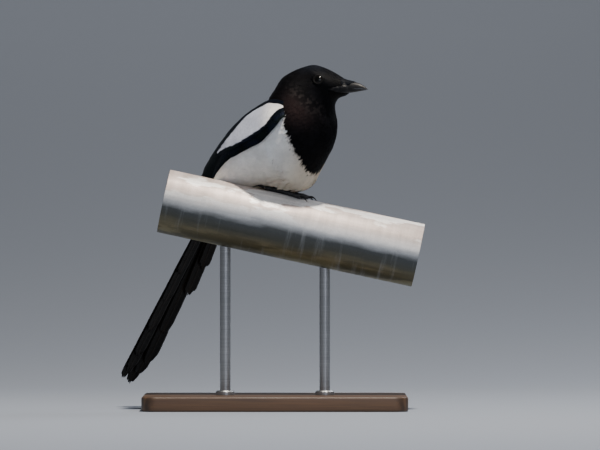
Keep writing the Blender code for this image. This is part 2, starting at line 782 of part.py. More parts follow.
def tube(name, centres, radii, finish, parent, resolution=2):
    """A round bar along a path, made from a curve whose radius changes from point to point."""
    curve = bpy.data.curves.new(name, "CURVE")
    curve.dimensions = "3D"
    curve.bevel_depth = MM
    curve.bevel_resolution = resolution
    curve.use_fill_caps = True
    spline = curve.splines.new("POLY")
    spline.points.add(len(centres) - 1)
    for point, centre, radius in zip(spline.points, centres, radii):
        point.co = (*map(float, centre), 1)
        point.radius = radius / MM
    guide = bpy.data.objects.new(name + "_path", curve)
    part.objects.link(guide)
    bpy.context.view_layer.update()
    obj = bpy.data.objects.new(name, evaluated_copy(guide))
    bpy.data.objects.remove(guide)
    bpy.data.curves.remove(curve)
    part.objects.link(obj)
    obj.parent = parent
    bm = bmesh.new()
    bm.from_mesh(obj.data)
    bmesh.ops.remove_doubles(bm, verts=bm.verts, dist=WELD)
    bm.to_mesh(obj.data)
    bm.free()
    return finished(obj, finish)


def build_foot(side, thigh, torso):
    foot = FEET[side]
    mirror = {"right": 1, "left": -1}[side]
    root = pipe_place(foot[0] * MM, math.radians(foot[1]), TOE_RADIUS * 1.35 + GAP)
    pad = ball("foot_" + side, root, FOOT_PAD, "leg_scales", perch, 10, 6)
    pieces = []
    for name, (spread, length, claw_length) in TOES.items():
        path = toe_path(foot, spread * mirror, length, len(TOE_JOINTS))
        radii = [TOE_RADIUS * joint for joint in TOE_JOINTS]
        centres = [pipe_place(a, w, r + GAP * 1.3) for (a, w), r in zip(path, radii)]
        pieces.append(tube("toe_" + name, centres, radii, "leg_scales", perch))
        build_claw(f"claw_{side}_{name}", foot, spread * mirror, length, claw_length)
    ankle = root + np.array([-ANKLE_BACK, mirror * 2 * MM, ANKLE_UP])
    steps = np.linspace(0, 1, 3)[:, None]
    shank = tube("shank", root + (ankle - root) * steps, [TARSUS_RADIUS] * 3, "leg_scales", perch)
    pieces.append(shank)
    boolean(pad, pieces, "UNION", "MANIFOLD")
    boolean(thigh, [swollen(bpy.data.objects[f"claw_{side}_hind"], GAP)], "DIFFERENCE")
    boolean(pad, [swollen(thigh, GAP), swollen(torso, GAP)], "DIFFERENCE")


def build_claw(name, foot, heading, toe_length, claw_length):
    """A curved claw, which starts just past the toe's end and arches down to the pipe."""
    start = toe_length + CLAW_GAP
    path = toe_path(foot, heading, start + claw_length, CLAW_STEPS, start)
    centres, radii = [], []
    for share, (along, angle) in zip(np.linspace(0, 1, CLAW_STEPS), path):
        radius = MM * (CLAW_ROOT * (1 - share) + CLAW_POINT * share)
        rise = CLAW_RISE * MM * math.sin(math.pi * min(share * 1.15, 1))
        centres.append(pipe_place(along, angle, radius + GAP * 1.5 + rise + 0.5 * MM * (1 - share)))
        radii.append(radius)
    tube(name, centres, radii, "bill_horn", perch, 1)


def build_legs(torso):
    for side in ("right", "left"):
        centre = np.array(THIGHS[side]) * MM
        thigh = ball("thigh_" + side, centre, np.array(THIGH_SIZE) * MM, "black_plumage", bird, 16, 9)
        boolean(thigh, [swollen(torso, GAP), pipe_cutter()], "DIFFERENCE")
        build_foot(side, thigh, torso)
    boolean(torso, [swollen(bpy.data.objects[f"claw_{side}_hind"], GAP) for side in FEET], "DIFFERENCE")


clear_scene()
part = bpy.data.collections.new("magpie_on_pipe")
bpy.context.scene.collection.children.link(part)

bird = bpy.data.objects.new("bird_frame", None)
part.objects.link(bird)
bird.location = (FEET_X, PERCH_Y, FEET_Z)
bird.rotation_euler = (0, 0, HEADING)
perch = bpy.data.objects.new("perch_frame", None)
part.objects.link(perch)
perch.location = (
    FEET_X,
    PERCH_Y,
    FEET_Z - PIPE_TOP_UNDER_FEET - PIPE_RADIUS / math.cos(PIPE_SLOPE),
)
perch.rotation_euler = (0, PIPE_SLOPE, 0)
bpy.context.view_layer.update()

build_stand()
build_perch()
trunk_tree = trunk_guide()
torso, head = build_trunk()
whole_trunk = loft("whole_trunk", trunk_rings(0, len(TRUNK) - 1, 34), None, bird)
build_head(head)
tail = build_tail()
boolean(tail, [swollen(torso, GAP)], "DIFFERENCE")
for wing_side in ("right", "left"):
    build_wing(wing_side, whole_trunk)
build_legs(torso)
bpy.data.objects.remove(whole_trunk)
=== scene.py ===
"""The looks of the magpie on its pipe perch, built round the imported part.

The body's surface, the wing's sheet, the tail, the bill and the feet follow the same named sizes as the part.
All sizes are in mm of the bird's own frame (x forwards, y to its left, z up, from between the feet), unless a
name says otherwise, and each finished mesh is put in the part's frame, in metres.
"""

import math

import bmesh
import bpy
import numpy as np
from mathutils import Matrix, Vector
from mathutils.bvhtree import BVHTree
from mathutils.kdtree import KDTree


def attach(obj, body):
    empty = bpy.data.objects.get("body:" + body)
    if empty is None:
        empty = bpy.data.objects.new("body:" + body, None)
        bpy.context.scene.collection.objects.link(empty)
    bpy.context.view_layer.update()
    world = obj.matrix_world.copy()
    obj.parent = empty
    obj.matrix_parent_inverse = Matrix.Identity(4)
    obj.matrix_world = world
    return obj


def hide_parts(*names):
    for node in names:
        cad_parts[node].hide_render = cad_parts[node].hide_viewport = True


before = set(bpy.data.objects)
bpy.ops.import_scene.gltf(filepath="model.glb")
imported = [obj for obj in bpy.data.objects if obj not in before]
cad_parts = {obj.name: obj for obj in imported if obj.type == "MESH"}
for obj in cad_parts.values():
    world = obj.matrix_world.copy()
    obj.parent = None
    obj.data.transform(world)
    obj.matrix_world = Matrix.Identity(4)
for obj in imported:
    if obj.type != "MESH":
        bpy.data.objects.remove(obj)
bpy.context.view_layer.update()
bpy.ops.object.select_all(action="DESELECT")

MM = 0.001
SIDES = {"right": 1, "left": -1}

# Where the bird and the pipe stand, as in the part
FEET_X, PERCH_Y, FEET_Z = 15, -10, 204
HEADING = math.radians(-37)
HEAD_YAW = math.radians(12)
YAW_PIVOT_X = 20
YAW_START, YAW_END = 8.0, 14.0
PIPE_RADIUS, PIPE_WALL, PIPE_LENGTH, PIPE_CHAMFER = 30.15, 4, 246, 0.6
PIPE_SLOPE = math.radians(12.1)
PIPE_TOP_UNDER_FEET = 1.5
PLUG_DEPTH, PLUG_GAP = 12, 0.3
BASE_SIZE = (250, 160, 14)
BASE_CORNER_RADIUS, BASE_EDGE_RADIUS = 14, 2
SMOOTH_ANGLE = math.radians(35)

# The trunk from the tail's root to the bill's base: top (x, z), bottom (x, z) and half width of each section
TRUNK = np.array(
    [
        (-90, -4, -74, -13, 13),
        (-88, 8, -66, -11, 20),
        (-82, 23, -55, -8, 28),
        (-73, 39, -42, -3, 35),
        (-61, 55, -28, 2.5, 40),
        (-47, 70, -12, 5.5, 42),
        (-33, 80.5, 3, 6.5, 43),
        (-21, 87, 16.5, 7.0, 42.5),
        (-14, 92, 26.2, 19, 41),
        (-11.2, 97.6, 37, 33.5, 38.5),
        (-8.6, 102.4, 44.6, 48, 35),
        (-6, 106.8, 46.8, 61, 31),
        (-3, 110.4, 45.4, 73, 27),
        (2, 113.6, 45.6, 82, 23.2),
        (9, 116.8, 48, 87.5, 20),
        (17.6, 119.8, 51.5, 90.3, 17.8),
        (26, 121.3, 54.5, 91.4, 16.8),
        (35, 119.3, 57, 92, 15),
        (44, 115.6, 59, 92.5, 12.4),
        (52, 111.3, 60.6, 93, 9.6),
        (58, 108, 61.5, 93.4, 7.6),
    ]
)
LAST_SECTION = len(TRUNK) - 1
# How much narrower the belly and the breast are below than an oval, by section
KEEL = ((0, 0), (3, 0.15), (5, 0.3), (9, 0.3), (12, 0))
# How deep the skin lies under the coat's surface, by section
COAT_DEPTH = ((0, 1.5), (2, 2.2), (8, 2.4), (11, 1.8), (14, 1.0), (17, 0.6), (20, 0.4))

# Half of the coat's markings, by the angle round the body from its back: where the bib ends, in sections
BIB_ANGLE = (0, 60, 75, 84, 90, 98, 108, 118, 134, 145, 154, 162, 180)
BIB_SECTION = (9.5, 9.5, 9.6, 9.75, 9.75, 9.3, 9.05, 8.75, 8.45, 8.35, 8.2, 8.0, 7.95)
MANTLE_ANGLE = ((0, 60), (3, 62), (6, 66), (9, 76), (11, 80))
VENT_SECTION = 1.7
RUMP_PATCH = (1.6, 3.2)

# The folded right wing, from its bend to its tip: upper edge, lower edge and how far its middle bulges
WING = np.array(
    [
        (19, -28, 85, 22, -35, 79, 2),
        (4, -22, 88, 12, -43, 64, 6),
        (-14, -17, 86.5, 0, -45, 53, 8),
        (-32, -15, 80, -15, -44.5, 46.5, 8.5),
        (-48, -15.5, 68.5, -31, -42.5, 41, 8),
        (-62, -16.5, 54.5, -46, -39, 33.5, 7),
        (-76, -17, 40, -60, -34, 23.5, 6),
        (-89, -17, 25, -74, -27, 11, 5),
        (-100, -14.5, 8, -88, -21, -4, 3.5),
        (-108, -11, -10, -100, -15.5, -19, 2),
        (-113, -8, -29, -111, -11, -31, 1),
    ]
)
WING_LIFT = 0.3
# Each tier of the wing, from the lowest to the topmost: how many feathers, the root and the tip (station
# along the wing, share across it) of its first and of its last, their width, how far roots are sunk and tips
# raised, and the kind of feather
WING_TIERS = {
    "primary": (9, (5.4, 0.97), (10.0, 0.76), (5.6, 0.5), (8.4, 0.24), 8.5, -0.9, -0.1, "remex"),
    "secondary": (8, (4.1, 0.98), (7.9, 0.86), (4.0, 0.4), (6.9, 0.2), 9.5, -0.9, 0.1, "remex"),
    "tertial": (4, (4.0, 0.36), (6.6, 0.3), (3.8, 0.08), (5.8, 0.05), 10.5, -0.8, 0.3, "remex"),
    "primary_covert": (5, (3.2, 1.0), (5.9, 1.0), (3.2, 0.9), (5.4, 0.88), 5.5, -0.9, 0.15, "covert"),
    "greater_covert": (10, (2.5, 0.99), (4.9, 1.0), (2.6, 0.5), (4.7, 0.5), 7.5, -0.9, 0.3, "covert"),
    "alula": (3, (1.8, 1.0), (3.9, 1.0), (1.9, 0.94), (3.5, 0.93), 5.0, -0.7, 0.4, "covert"),
    "median_covert": (7, (1.5, 0.99), (3.3, 1.0), (1.6, 0.74), (3.1, 0.76), 7.0, -0.8, 0.4, "covert"),
    "lesser_covert_long": (8, (0.8, 0.98), (2.3, 1.0), (0.9, 0.68), (2.2, 0.74), 6.0, -0.7, 0.5, "covert"),
    "lesser_covert": (9, (0.4, 0.99), (1.5, 1.0), (0.5, 0.6), (1.5, 0.7), 5.5, -0.7, 0.6, "covert"),
    "marginal_covert": (10, (0.0, 1.0), (0.85, 0.98), (0.0, 0.5), (0.9, 0.6), 5.0, -0.6, 0.7, "covert"),
    "scapular_under": (13, (3.3, 0.84), (5.5, 0.68), (3.1, 0.04), (5.3, 0.06), 10.0, -0.2, 0.45, "scapular"),
    "scapular_long": (13, (2.5, 0.85), (4.6, 0.82), (2.3, 0.04), (4.5, 0.05), 9.5, 0.1, 0.65, "scapular"),
    "scapular_middle": (13, (1.7, 0.85), (3.8, 0.84), (1.5, 0.03), (3.6, 0.03), 9.0, 0.3, 0.85, "scapular"),
    "scapular_short": (13, (1.0, 0.83), (2.9, 0.84), (0.9, 0.03), (2.7, 0.02), 8.5, 0.45, 1.0, "scapular"),
    "scapular_upper": (13, (0.5, 0.74), (2.0, 0.83), (0.5, 0.04), (1.9, 0.02), 8.0, 0.5, 1.1, "scapular"),
    "scapular_front": (12, (-0.1, 0.62), (1.2, 0.75), (-0.1, 0.06), (1.2, 0.04), 7.0, -0.3, 1.2, "scapular"),
}
# The white shoulder patch on the wing: by station along it, the shares across it where it starts and ends
PATCH_UPPER = (
    (0, 0.6), (0.3, 0.47), (0.6, 0.37), (1.2, 0.28), (2.1, 0.25),
    (3.0, 0.36), (3.8, 0.54), (4.3, 0.6), (5.3, 0.63),
)
PATCH_LOWER = (
    (0, 0.6), (0.5, 0.67), (0.95, 0.78), (1.5, 0.86), (2.3, 0.86), (3.7, 0.9), (4.3, 0.86), (5.3, 0.67),
)
PATCH_START, PATCH_END = 0.12, 5.4
# How far each feather's lower edge lies over the next, and how thick its vane is
SHINGLE = 0.3
VANE_THICKNESS = 0.25

# The tail: where it starts, how steeply it hangs, how far it tilts, and how far a layer lies below the last
TAIL_ROOT = (-83, -2.5, -0.9)
TAIL_SLOPE = math.radians(58.5)
TAIL_TILT = math.radians(3)
TAIL_LAYER = 1.0
# How far down a side's middle feather and its others lie within their layers
TAIL_STAGGER = {"left": (0, 0), "right": (0.85, 0.16)}
# Each side's feathers from the middle one, which lies on top: length, how far root and tip stand from the
# middle line, and width
TAIL_FEATHERS = {
    "left": (
        (211, 2, 1, 18), (201, 3.5, 6, 19), (188, 5, 10.5, 19),
        (152, 7, 10, 18), (109, 9, 18, 18), (78, 10, 19, 17),
    ),
    "right": (
        (204, 3, 15, 18), (195, 5, 12, 19), (179, 6, 12, 19),
        (150, 8, 12, 18), (116, 9, 12, 18), (84, 10, 12, 17),
    ),
}

# The bill: x, ridge, mouth line, lower edge and half width
BILL = np.array(
    [
        (50, 105.2, 98.4, 95.4, 5.4),
        (57, 106.2, 98.6, 94.9, 5.9),
        (62, 106.0, 98.7, 94.9, 5.5),
        (68, 105.2, 98.8, 95.4, 4.6),
        (73.5, 103.8, 98.7, 96.3, 3.4),
        (78, 101.5, 98.4, 97.1, 2.1),
        (80.8, 99.4, 98.0, 97.5, 1.1),
        (82.2, 97.9, 97.5, 97.3, 0.45),
    ]
)
# How round its sides are: below 1 they are fuller than an oval's
BILL_FULLNESS = 0.85
LOWER_BILL_END = 80.0
# Where the bill's bare edges end at the corner of the mouth, how high they are on the face's end and how far
# they stand out from the face's sides, above and below the mouth
GAPE_X, FACE_END_X, GAPE_FADE = 45.5, 57.5, 7.0
GAPE_HEIGHT = {True: 2.4, False: 3.4}
GAPE_STAND, GAPE_SUNK = 0.6, 1.6
MOUTH_GAP = 0.3
BRISTLE_END = 68.5

# Eyes
EYE_SECTION = 15.9
EYE_ANGLE = math.radians(86)
EYE_RADIUS = 6.0
EYE_DEPTH = 4.4
LID_RADIUS = 4.4
# Across the lids' three folds: how far out from the ring's own radius, and how high
LID_FOLDS = (
    (-0.95, -0.7), (-0.75, 0.15), (-0.35, 0.5), (0.05, 0.42), (0.35, 0.6), (0.75, 0.35), (1.2, -0.1),
    (1.6, -0.9),
)
LID_SIDES = 72

# Feet on the pipe: how far along it, the angle round it from its top, the turn, and each toe's spread, length
# and claw length
FEET = {"right": (-17, 6, -2), "left": (-12, -17, 16)}
TOES = {"inner": (20, 20, 7), "middle": (0, 27, 8), "outer": (-19, 21, 7), "hind": (180, 15, 11)}
TOE_RADIUS = 2.1
# How thick a toe is at each fifth of its length, against its radius
TOE_JOINTS = (1.15, 0.98, 1.1, 0.9, 1.0, 0.8)
TOE_LIFT = 0.4
CLAW_GAP, CLAW_ROOT, CLAW_POINT, CLAW_RISE = 0.8, 1.35, 0.22, 1.4
TARSUS_RADIUS = 2.2
SCUTE = (0.0, 1.0, 0.9, 0.75)
ANKLE_BACK, ANKLE_UP = 15, 17


# Shared shapes


def through(table, steps):
    """Rows of a table at fractional positions, on a smooth curve through its rows."""
    steps = np.clip(np.asarray(steps, float), 0, len(table) - 1)
    start = np.minimum(steps.astype(int), len(table) - 2)
    share = (steps - start)[..., None]
    padded = np.vstack([2 * table[0] - table[1], table, 2 * table[-1] - table[-2]])
    a, b, c, d = (padded[start + i] for i in range(4))
    return 0.5 * (
        2 * b
        + (c - a) * share
        + (2 * a - 5 * b + 4 * c - d) * share**2
        + (3 * b - a - 3 * c + d) * share**3
    )


def smoothstep(value):
    """A value between 0 and 1, with soft ends."""
    value = np.clip(value, 0, 1)
    return value * value * (3 - 2 * value)


def unit(vectors):
    """Vectors of the same ways with a length of 1."""
    return vectors / np.maximum(np.linalg.norm(vectors, axis=-1, keepdims=True), 1e-12)


def along_table(pairs, values):
    """A value that changes smoothly along a table of (position, value) pairs."""
    places, levels = zip(*pairs)
    return np.interp(values, places, levels)


def turned(points, share):
    """Points turned with the head by a share of its yaw."""
    angle = HEAD_YAW * share
    x = points[..., 0] - YAW_PIVOT_X
    y = points[..., 1]
    return np.stack(
        [
            YAW_PIVOT_X + x * np.cos(angle) - y * np.sin(angle),
            x * np.sin(angle) + y * np.cos(angle),
            points[..., 2],
        ],
        axis=-1,
    )


def trunk(sections, angles):
    """Points of the body's surface, by section along it and by angle from its back, right side first."""
    row = through(TRUNK, sections)
    up = np.cos(angles)
    keel = 1 - along_table(KEEL, sections) * ((1 - up) / 2) ** 4
    points = np.stack(
        [
            (row[..., 0] + row[..., 2]) / 2 + (row[..., 0] - row[..., 2]) / 2 * up,
            -row[..., 4] * np.sin(angles) * keel,
            (row[..., 1] + row[..., 3]) / 2 + (row[..., 1] - row[..., 3]) / 2 * up,
        ],
        axis=-1,
    )
    return turned(points, smoothstep((sections - YAW_START) / (YAW_END - YAW_START)))


def turn_of(angles):
    """Angles round the body as degrees from its back, alike on both sides."""
    return np.degrees(np.abs((angles + math.pi) % (2 * math.pi) - math.pi))


def body_grid(rows, sides):
    """Sections and angles of evenly spaced places all over the body."""
    sections = np.linspace(0, LAST_SECTION, rows)[:, None] + np.zeros(sides)
    return sections, np.zeros(rows)[:, None] + np.arange(sides) * 2 * math.pi / sides


def trunk_slopes(sections, angles):
    """How the surface runs along the body and round it, and the way it faces."""
    step, turn = 0.02, 0.01
    low = np.clip(sections - step, 0, LAST_SECTION)
    high = np.clip(sections + step, 0, LAST_SECTION)
    along = (trunk(high, angles) - trunk(low, angles)) / (high - low)[..., None]
    around = (trunk(sections, angles + turn) - trunk(sections, angles - turn)) / (2 * turn)
    return along, around, unit(np.cross(around, along))


def eye_spot(mirror):
    """An eye's place on the head, the way the surface runs ahead there and the way it faces."""
    section, angle = np.array(EYE_SECTION), np.array(EYE_ANGLE * mirror)
    along, _, out = trunk_slopes(section, angle)
    return trunk(section, angle), along, out


def to_part(points):
    """Points of the bird's frame in mm, as points of the part's frame in metres."""
    x, y, z = points[..., 0], points[..., 1], points[..., 2]
    turn_x, turn_y = math.cos(HEADING), math.sin(HEADING)
    placed = [FEET_X + x * turn_x - y * turn_y, PERCH_Y + x * turn_y + y * turn_x, FEET_Z + z]
    return np.stack(placed, axis=-1) * MM


PIPE_AXIS = np.array([math.cos(PIPE_SLOPE), 0, -math.sin(PIPE_SLOPE)])
PIPE_UP = np.array([math.sin(PIPE_SLOPE), 0, math.cos(PIPE_SLOPE)])
PIPE_MIDDLE = np.array([FEET_X, PERCH_Y, FEET_Z - PIPE_TOP_UNDER_FEET - PIPE_RADIUS / math.cos(PIPE_SLOPE)])


def clear_of_pipe(points, margin):
    """Points in metres, moved out of the pipe where they would reach into it."""
    off = points / MM - PIPE_MIDDLE
    along = off @ PIPE_AXIS
    radial = off - along[..., None] * PIPE_AXIS
    reach = np.linalg.norm(radial, axis=-1)
    pushed = radial * (np.maximum(reach, PIPE_RADIUS + margin) / reach)[..., None]
    return (PIPE_MIDDLE + along[..., None] * PIPE_AXIS + pushed) * MM


def on_pipe(along, angle, lift):
    """A point in metres: mm along the pipe, the angle from its top to the camera's side, and mm above it."""
    reach = (PIPE_RADIUS + np.asarray(lift, float))[..., None]
    side = np.array([0, -1, 0])
    around = np.cos(angle)[..., None] * PIPE_UP + np.sin(angle)[..., None] * side
    return (PIPE_MIDDLE + np.asarray(along)[..., None] * PIPE_AXIS + reach * around) * MM


# Materials


def colour(code):
    """A linear colour from an sRGB hex value."""
    parts = [int(code[i : i + 2], 16) / 255 for i in (1, 3, 5)]
    return [p / 12.92 if p <= 0.04045 else ((p + 0.055) / 1.055) ** 2.4 for p in parts] + [1]


def put(tree, kind, sockets=None, stops=None, **settings):
    """Adds a node: its settings, its sockets as values or nodes' outputs, and any colour ramp's stops."""
    made = tree.nodes.new("ShaderNode" + kind)
    for name, value in settings.items():
        setattr(made, name, value)
    if stops:
        ramp = made.color_ramp
        while len(ramp.elements) < len(stops):
            ramp.elements.new(1)
        for element, (place, code) in zip(ramp.elements, stops):
            element.position = place
            element.color = colour(code)
    for name, value in (sockets or {}).items():
        if isinstance(value, bpy.types.NodeSocket):
            tree.links.new(value, made.inputs[name])
        else:
            made.inputs[name].default_value = value
    return made


def new_material(name, **fixed):
    """A new material, its node tree and its shader, with some of the shader's sockets set."""
    made = bpy.data.materials.new(name)
    made.use_nodes = True
    shader = made.node_tree.nodes["Principled BSDF"]
    for socket, value in fixed.items():
        shader.inputs[socket.replace("_", " ")].default_value = value
    return made, made.node_tree, shader


# Where most of a noise's values lie
NOISE_RANGE = {"From Min": 0.3, "From Max": 0.7}


def feather_material(name, roughness, streak, bump, shine=0, **fixed):
    """Keratin vanes: the painted plumage, streaked and ridged along barbs that run out from the shaft."""
    made, tree, shader = new_material(name, **fixed)
    paint = put(tree, "Attribute", attribute_name="plumage").outputs["Color"]
    barbs = put(tree, "Attribute", attribute_name="barbs").outputs["Vector"]
    # The barbs' own map counts along their rows: a streak is about 0.2 mm wide and 3 mm long
    fine = put(tree, "Mapping", {"Vector": barbs, "Scale": (1, 0.06, 1)}).outputs["Vector"]
    strands = put(tree, "TexNoise", {"Vector": fine, "Scale": 2.2, "Detail": 3.0}).outputs["Fac"]
    place = put(tree, "TexCoord").outputs["Object"]
    cloud = put(tree, "TexNoise", {"Vector": place, "Scale": 90.0, "Detail": 3.0}).outputs["Fac"]
    lit = put(tree, "MapRange", {"Value": strands, **NOISE_RANGE, "To Min": 1 - streak, "To Max": 1 + streak})
    dim = put(tree, "MapRange", {"Value": cloud, **NOISE_RANGE, "To Min": 0.9, "To Max": 1.1})
    both = put(tree, "Math", {0: lit.outputs[0], 1: dim.outputs[0]}, operation="MULTIPLY").outputs[0]
    tinted = put(tree, "VectorMath", {0: paint, "Scale": both}, operation="SCALE").outputs[0]
    tree.links.new(tinted, shader.inputs["Base Color"])
    least, most = roughness - 0.08, roughness + 0.1
    rough = put(tree, "MapRange", {"Value": strands, **NOISE_RANGE, "To Min": least, "To Max": most})
    tree.links.new(rough.outputs[0], shader.inputs["Roughness"])
    ridges = put(tree, "Bump", {"Height": strands, "Strength": bump, "Distance": 0.0003}).outputs["Normal"]
    tree.links.new(ridges, shader.inputs["Normal"])
    if shine:
        gloss = put(tree, "Attribute", attribute_name="gloss").outputs["Fac"]
        metal = put(tree, "Math", {0: gloss, 1: shine}, operation="MULTIPLY").outputs[0]
        tree.links.new(metal, shader.inputs["Metallic"])
    return made


# Black melanin keratin: nearly no body colour, a soft velvety gloss
BLACK_BODY = feather_material("black_contour_feather", 0.5, 0.4, 0.5, Specular_IOR_Level=0.04)
# White keratin without pigment: scatters light, hardly glosses
WHITE_BODY = feather_material(
    "white_contour_feather", 0.85, 0.05, 0.25,
    Specular_IOR_Level=0.15, Subsurface_Weight=0.1, Subsurface_Scale=0.003,
)
# Structural colour of the flight feathers: thin keratin over melanin, which reflects blue, green and violet
GLOSSY = feather_material("glossy_flight_feather", 0.42, 0.3, 0.6, shine=0.5, Specular_IOR_Level=0.05)


def horn_material():
    """Black horn of the bill and claws: hard keratin in fine layers along it, polished at the bill's tip."""
    made, tree, shader = new_material("black_horn")
    place = put(tree, "TexCoord").outputs["Object"]
    # Duller with dust towards the face
    ahead = put(tree, "SeparateXYZ", {"Vector": place}).outputs["X"]
    worn = {"Value": ahead, "From Min": 0.062, "From Max": 0.074, "To Min": 0.12, "To Max": 0.28}
    polish = put(tree, "MapRange", worn)
    tree.links.new(polish.outputs[0], shader.inputs["Specular IOR Level"])
    # Layers 1 mm apart, drawn out along the bill, and blotches 3 mm apart
    layers = {"Vector": place, "Rotation": (0, 0, math.radians(25)), "Scale": (150, 900, 1400)}
    drawn = put(tree, "Mapping", layers).outputs[0]
    grain = put(tree, "TexNoise", {"Vector": drawn, "Scale": 1.0, "Detail": 4.0}).outputs["Fac"]
    blotch = put(tree, "TexNoise", {"Vector": place, "Scale": 300.0, "Detail": 2.0}).outputs["Fac"]
    mixed = put(tree, "Math", {0: grain, 1: blotch}, operation="MULTIPLY").outputs[0]
    tint = put(tree, "ValToRGB", {"Fac": mixed}, stops=((0.1, "#0c0c0e"), (0.3, "#161618"), (0.5, "#2e2c2c")))
    tree.links.new(tint.outputs[0], shader.inputs["Base Color"])
    rough = put(tree, "MapRange", {"Value": grain, "To Min": 0.36, "To Max": 0.6})
    tree.links.new(rough.outputs[0], shader.inputs["Roughness"])
    lines = put(tree, "Bump", {"Height": grain, "Strength": 0.25, "Distance": 0.0003}).outputs["Normal"]
    tree.links.new(lines, shader.inputs["Normal"])
    return made


def leg_material():
    """Black leathery scutes: dull keratin plates with dusty, paler creases between them."""
    made, tree, shader = new_material("black_leg_scute", Specular_IOR_Level=0.45)
    place = put(tree, "TexCoord").outputs["Object"]
    crease = put(tree, "Attribute", attribute_name="crease").outputs["Fac"]
    cells = put(tree, "TexVoronoi", {"Vector": place, "Scale": 1400.0}).outputs["Distance"]
    dust = put(tree, "TexNoise", {"Vector": place, "Scale": 500.0, "Detail": 4.0}).outputs["Fac"]
    amount = put(tree, "Math", {0: crease, 1: dust}, operation="MULTIPLY").outputs[0]
    stops = ((0.0, "#0c0c0e"), (0.4, "#19191b"), (0.8, "#35322f"))
    tint = put(tree, "ValToRGB", {"Fac": amount}, stops=stops)
    tree.links.new(tint.outputs[0], shader.inputs["Base Color"])
    rough = put(tree, "MapRange", {"Value": dust, "To Min": 0.4, "To Max": 0.7})
    tree.links.new(rough.outputs[0], shader.inputs["Roughness"])
    pebble = put(tree, "Bump", {"Height": cells, "Strength": 0.4, "Distance": 0.0002}).outputs["Normal"]
    tree.links.new(pebble, shader.inputs["Normal"])
    return made


def eye_material():
    """A wet eye: black pupil, dark brown iris with fine spokes, and a clear glossy cornea over both."""
    made, tree, shader = new_material("wet_dark_eye", Roughness=0.12, Specular_IOR_Level=0.22)
    ring = put(tree, "Attribute", attribute_name="iris").outputs["Fac"]
    place = put(tree, "TexCoord").outputs["Object"]
    spokes = put(tree, "TexNoise", {"Vector": place, "Scale": 1500.0, "Detail": 3.0}).outputs["Fac"]
    moved = put(tree, "Math", {0: spokes, 1: 0.06, 2: ring}, operation="MULTIPLY_ADD").outputs[0]
    stops = ((0.0, "#020202"), (0.36, "#030302"), (0.4, "#120b07"), (0.52, "#180e09"), (0.62, "#060404"))
    tint = put(tree, "ValToRGB", {"Fac": moved}, stops=stops)
    tree.links.new(tint.outputs[0], shader.inputs["Base Color"])
    return made


def lid_material():
    """Bare black eyelid: soft skin in fine folds, hardly glossy."""
    made, tree, shader = new_material("black_eyelid_skin", Roughness=0.7, Specular_IOR_Level=0.12)
    place = put(tree, "TexCoord").outputs["Object"]
    pores = put(tree, "TexNoise", {"Vector": place, "Scale": 2200.0, "Detail": 3.0}).outputs["Fac"]
    tint = put(tree, "ValToRGB", {"Fac": pores}, stops=((0.35, "#040405"), (0.7, "#0a0a0b")))
    tree.links.new(tint.outputs[0], shader.inputs["Base Color"])
    folds = put(tree, "Bump", {"Height": pores, "Strength": 0.5, "Distance": 0.0002}).outputs["Normal"]
    tree.links.new(folds, shader.inputs["Normal"])
    return made


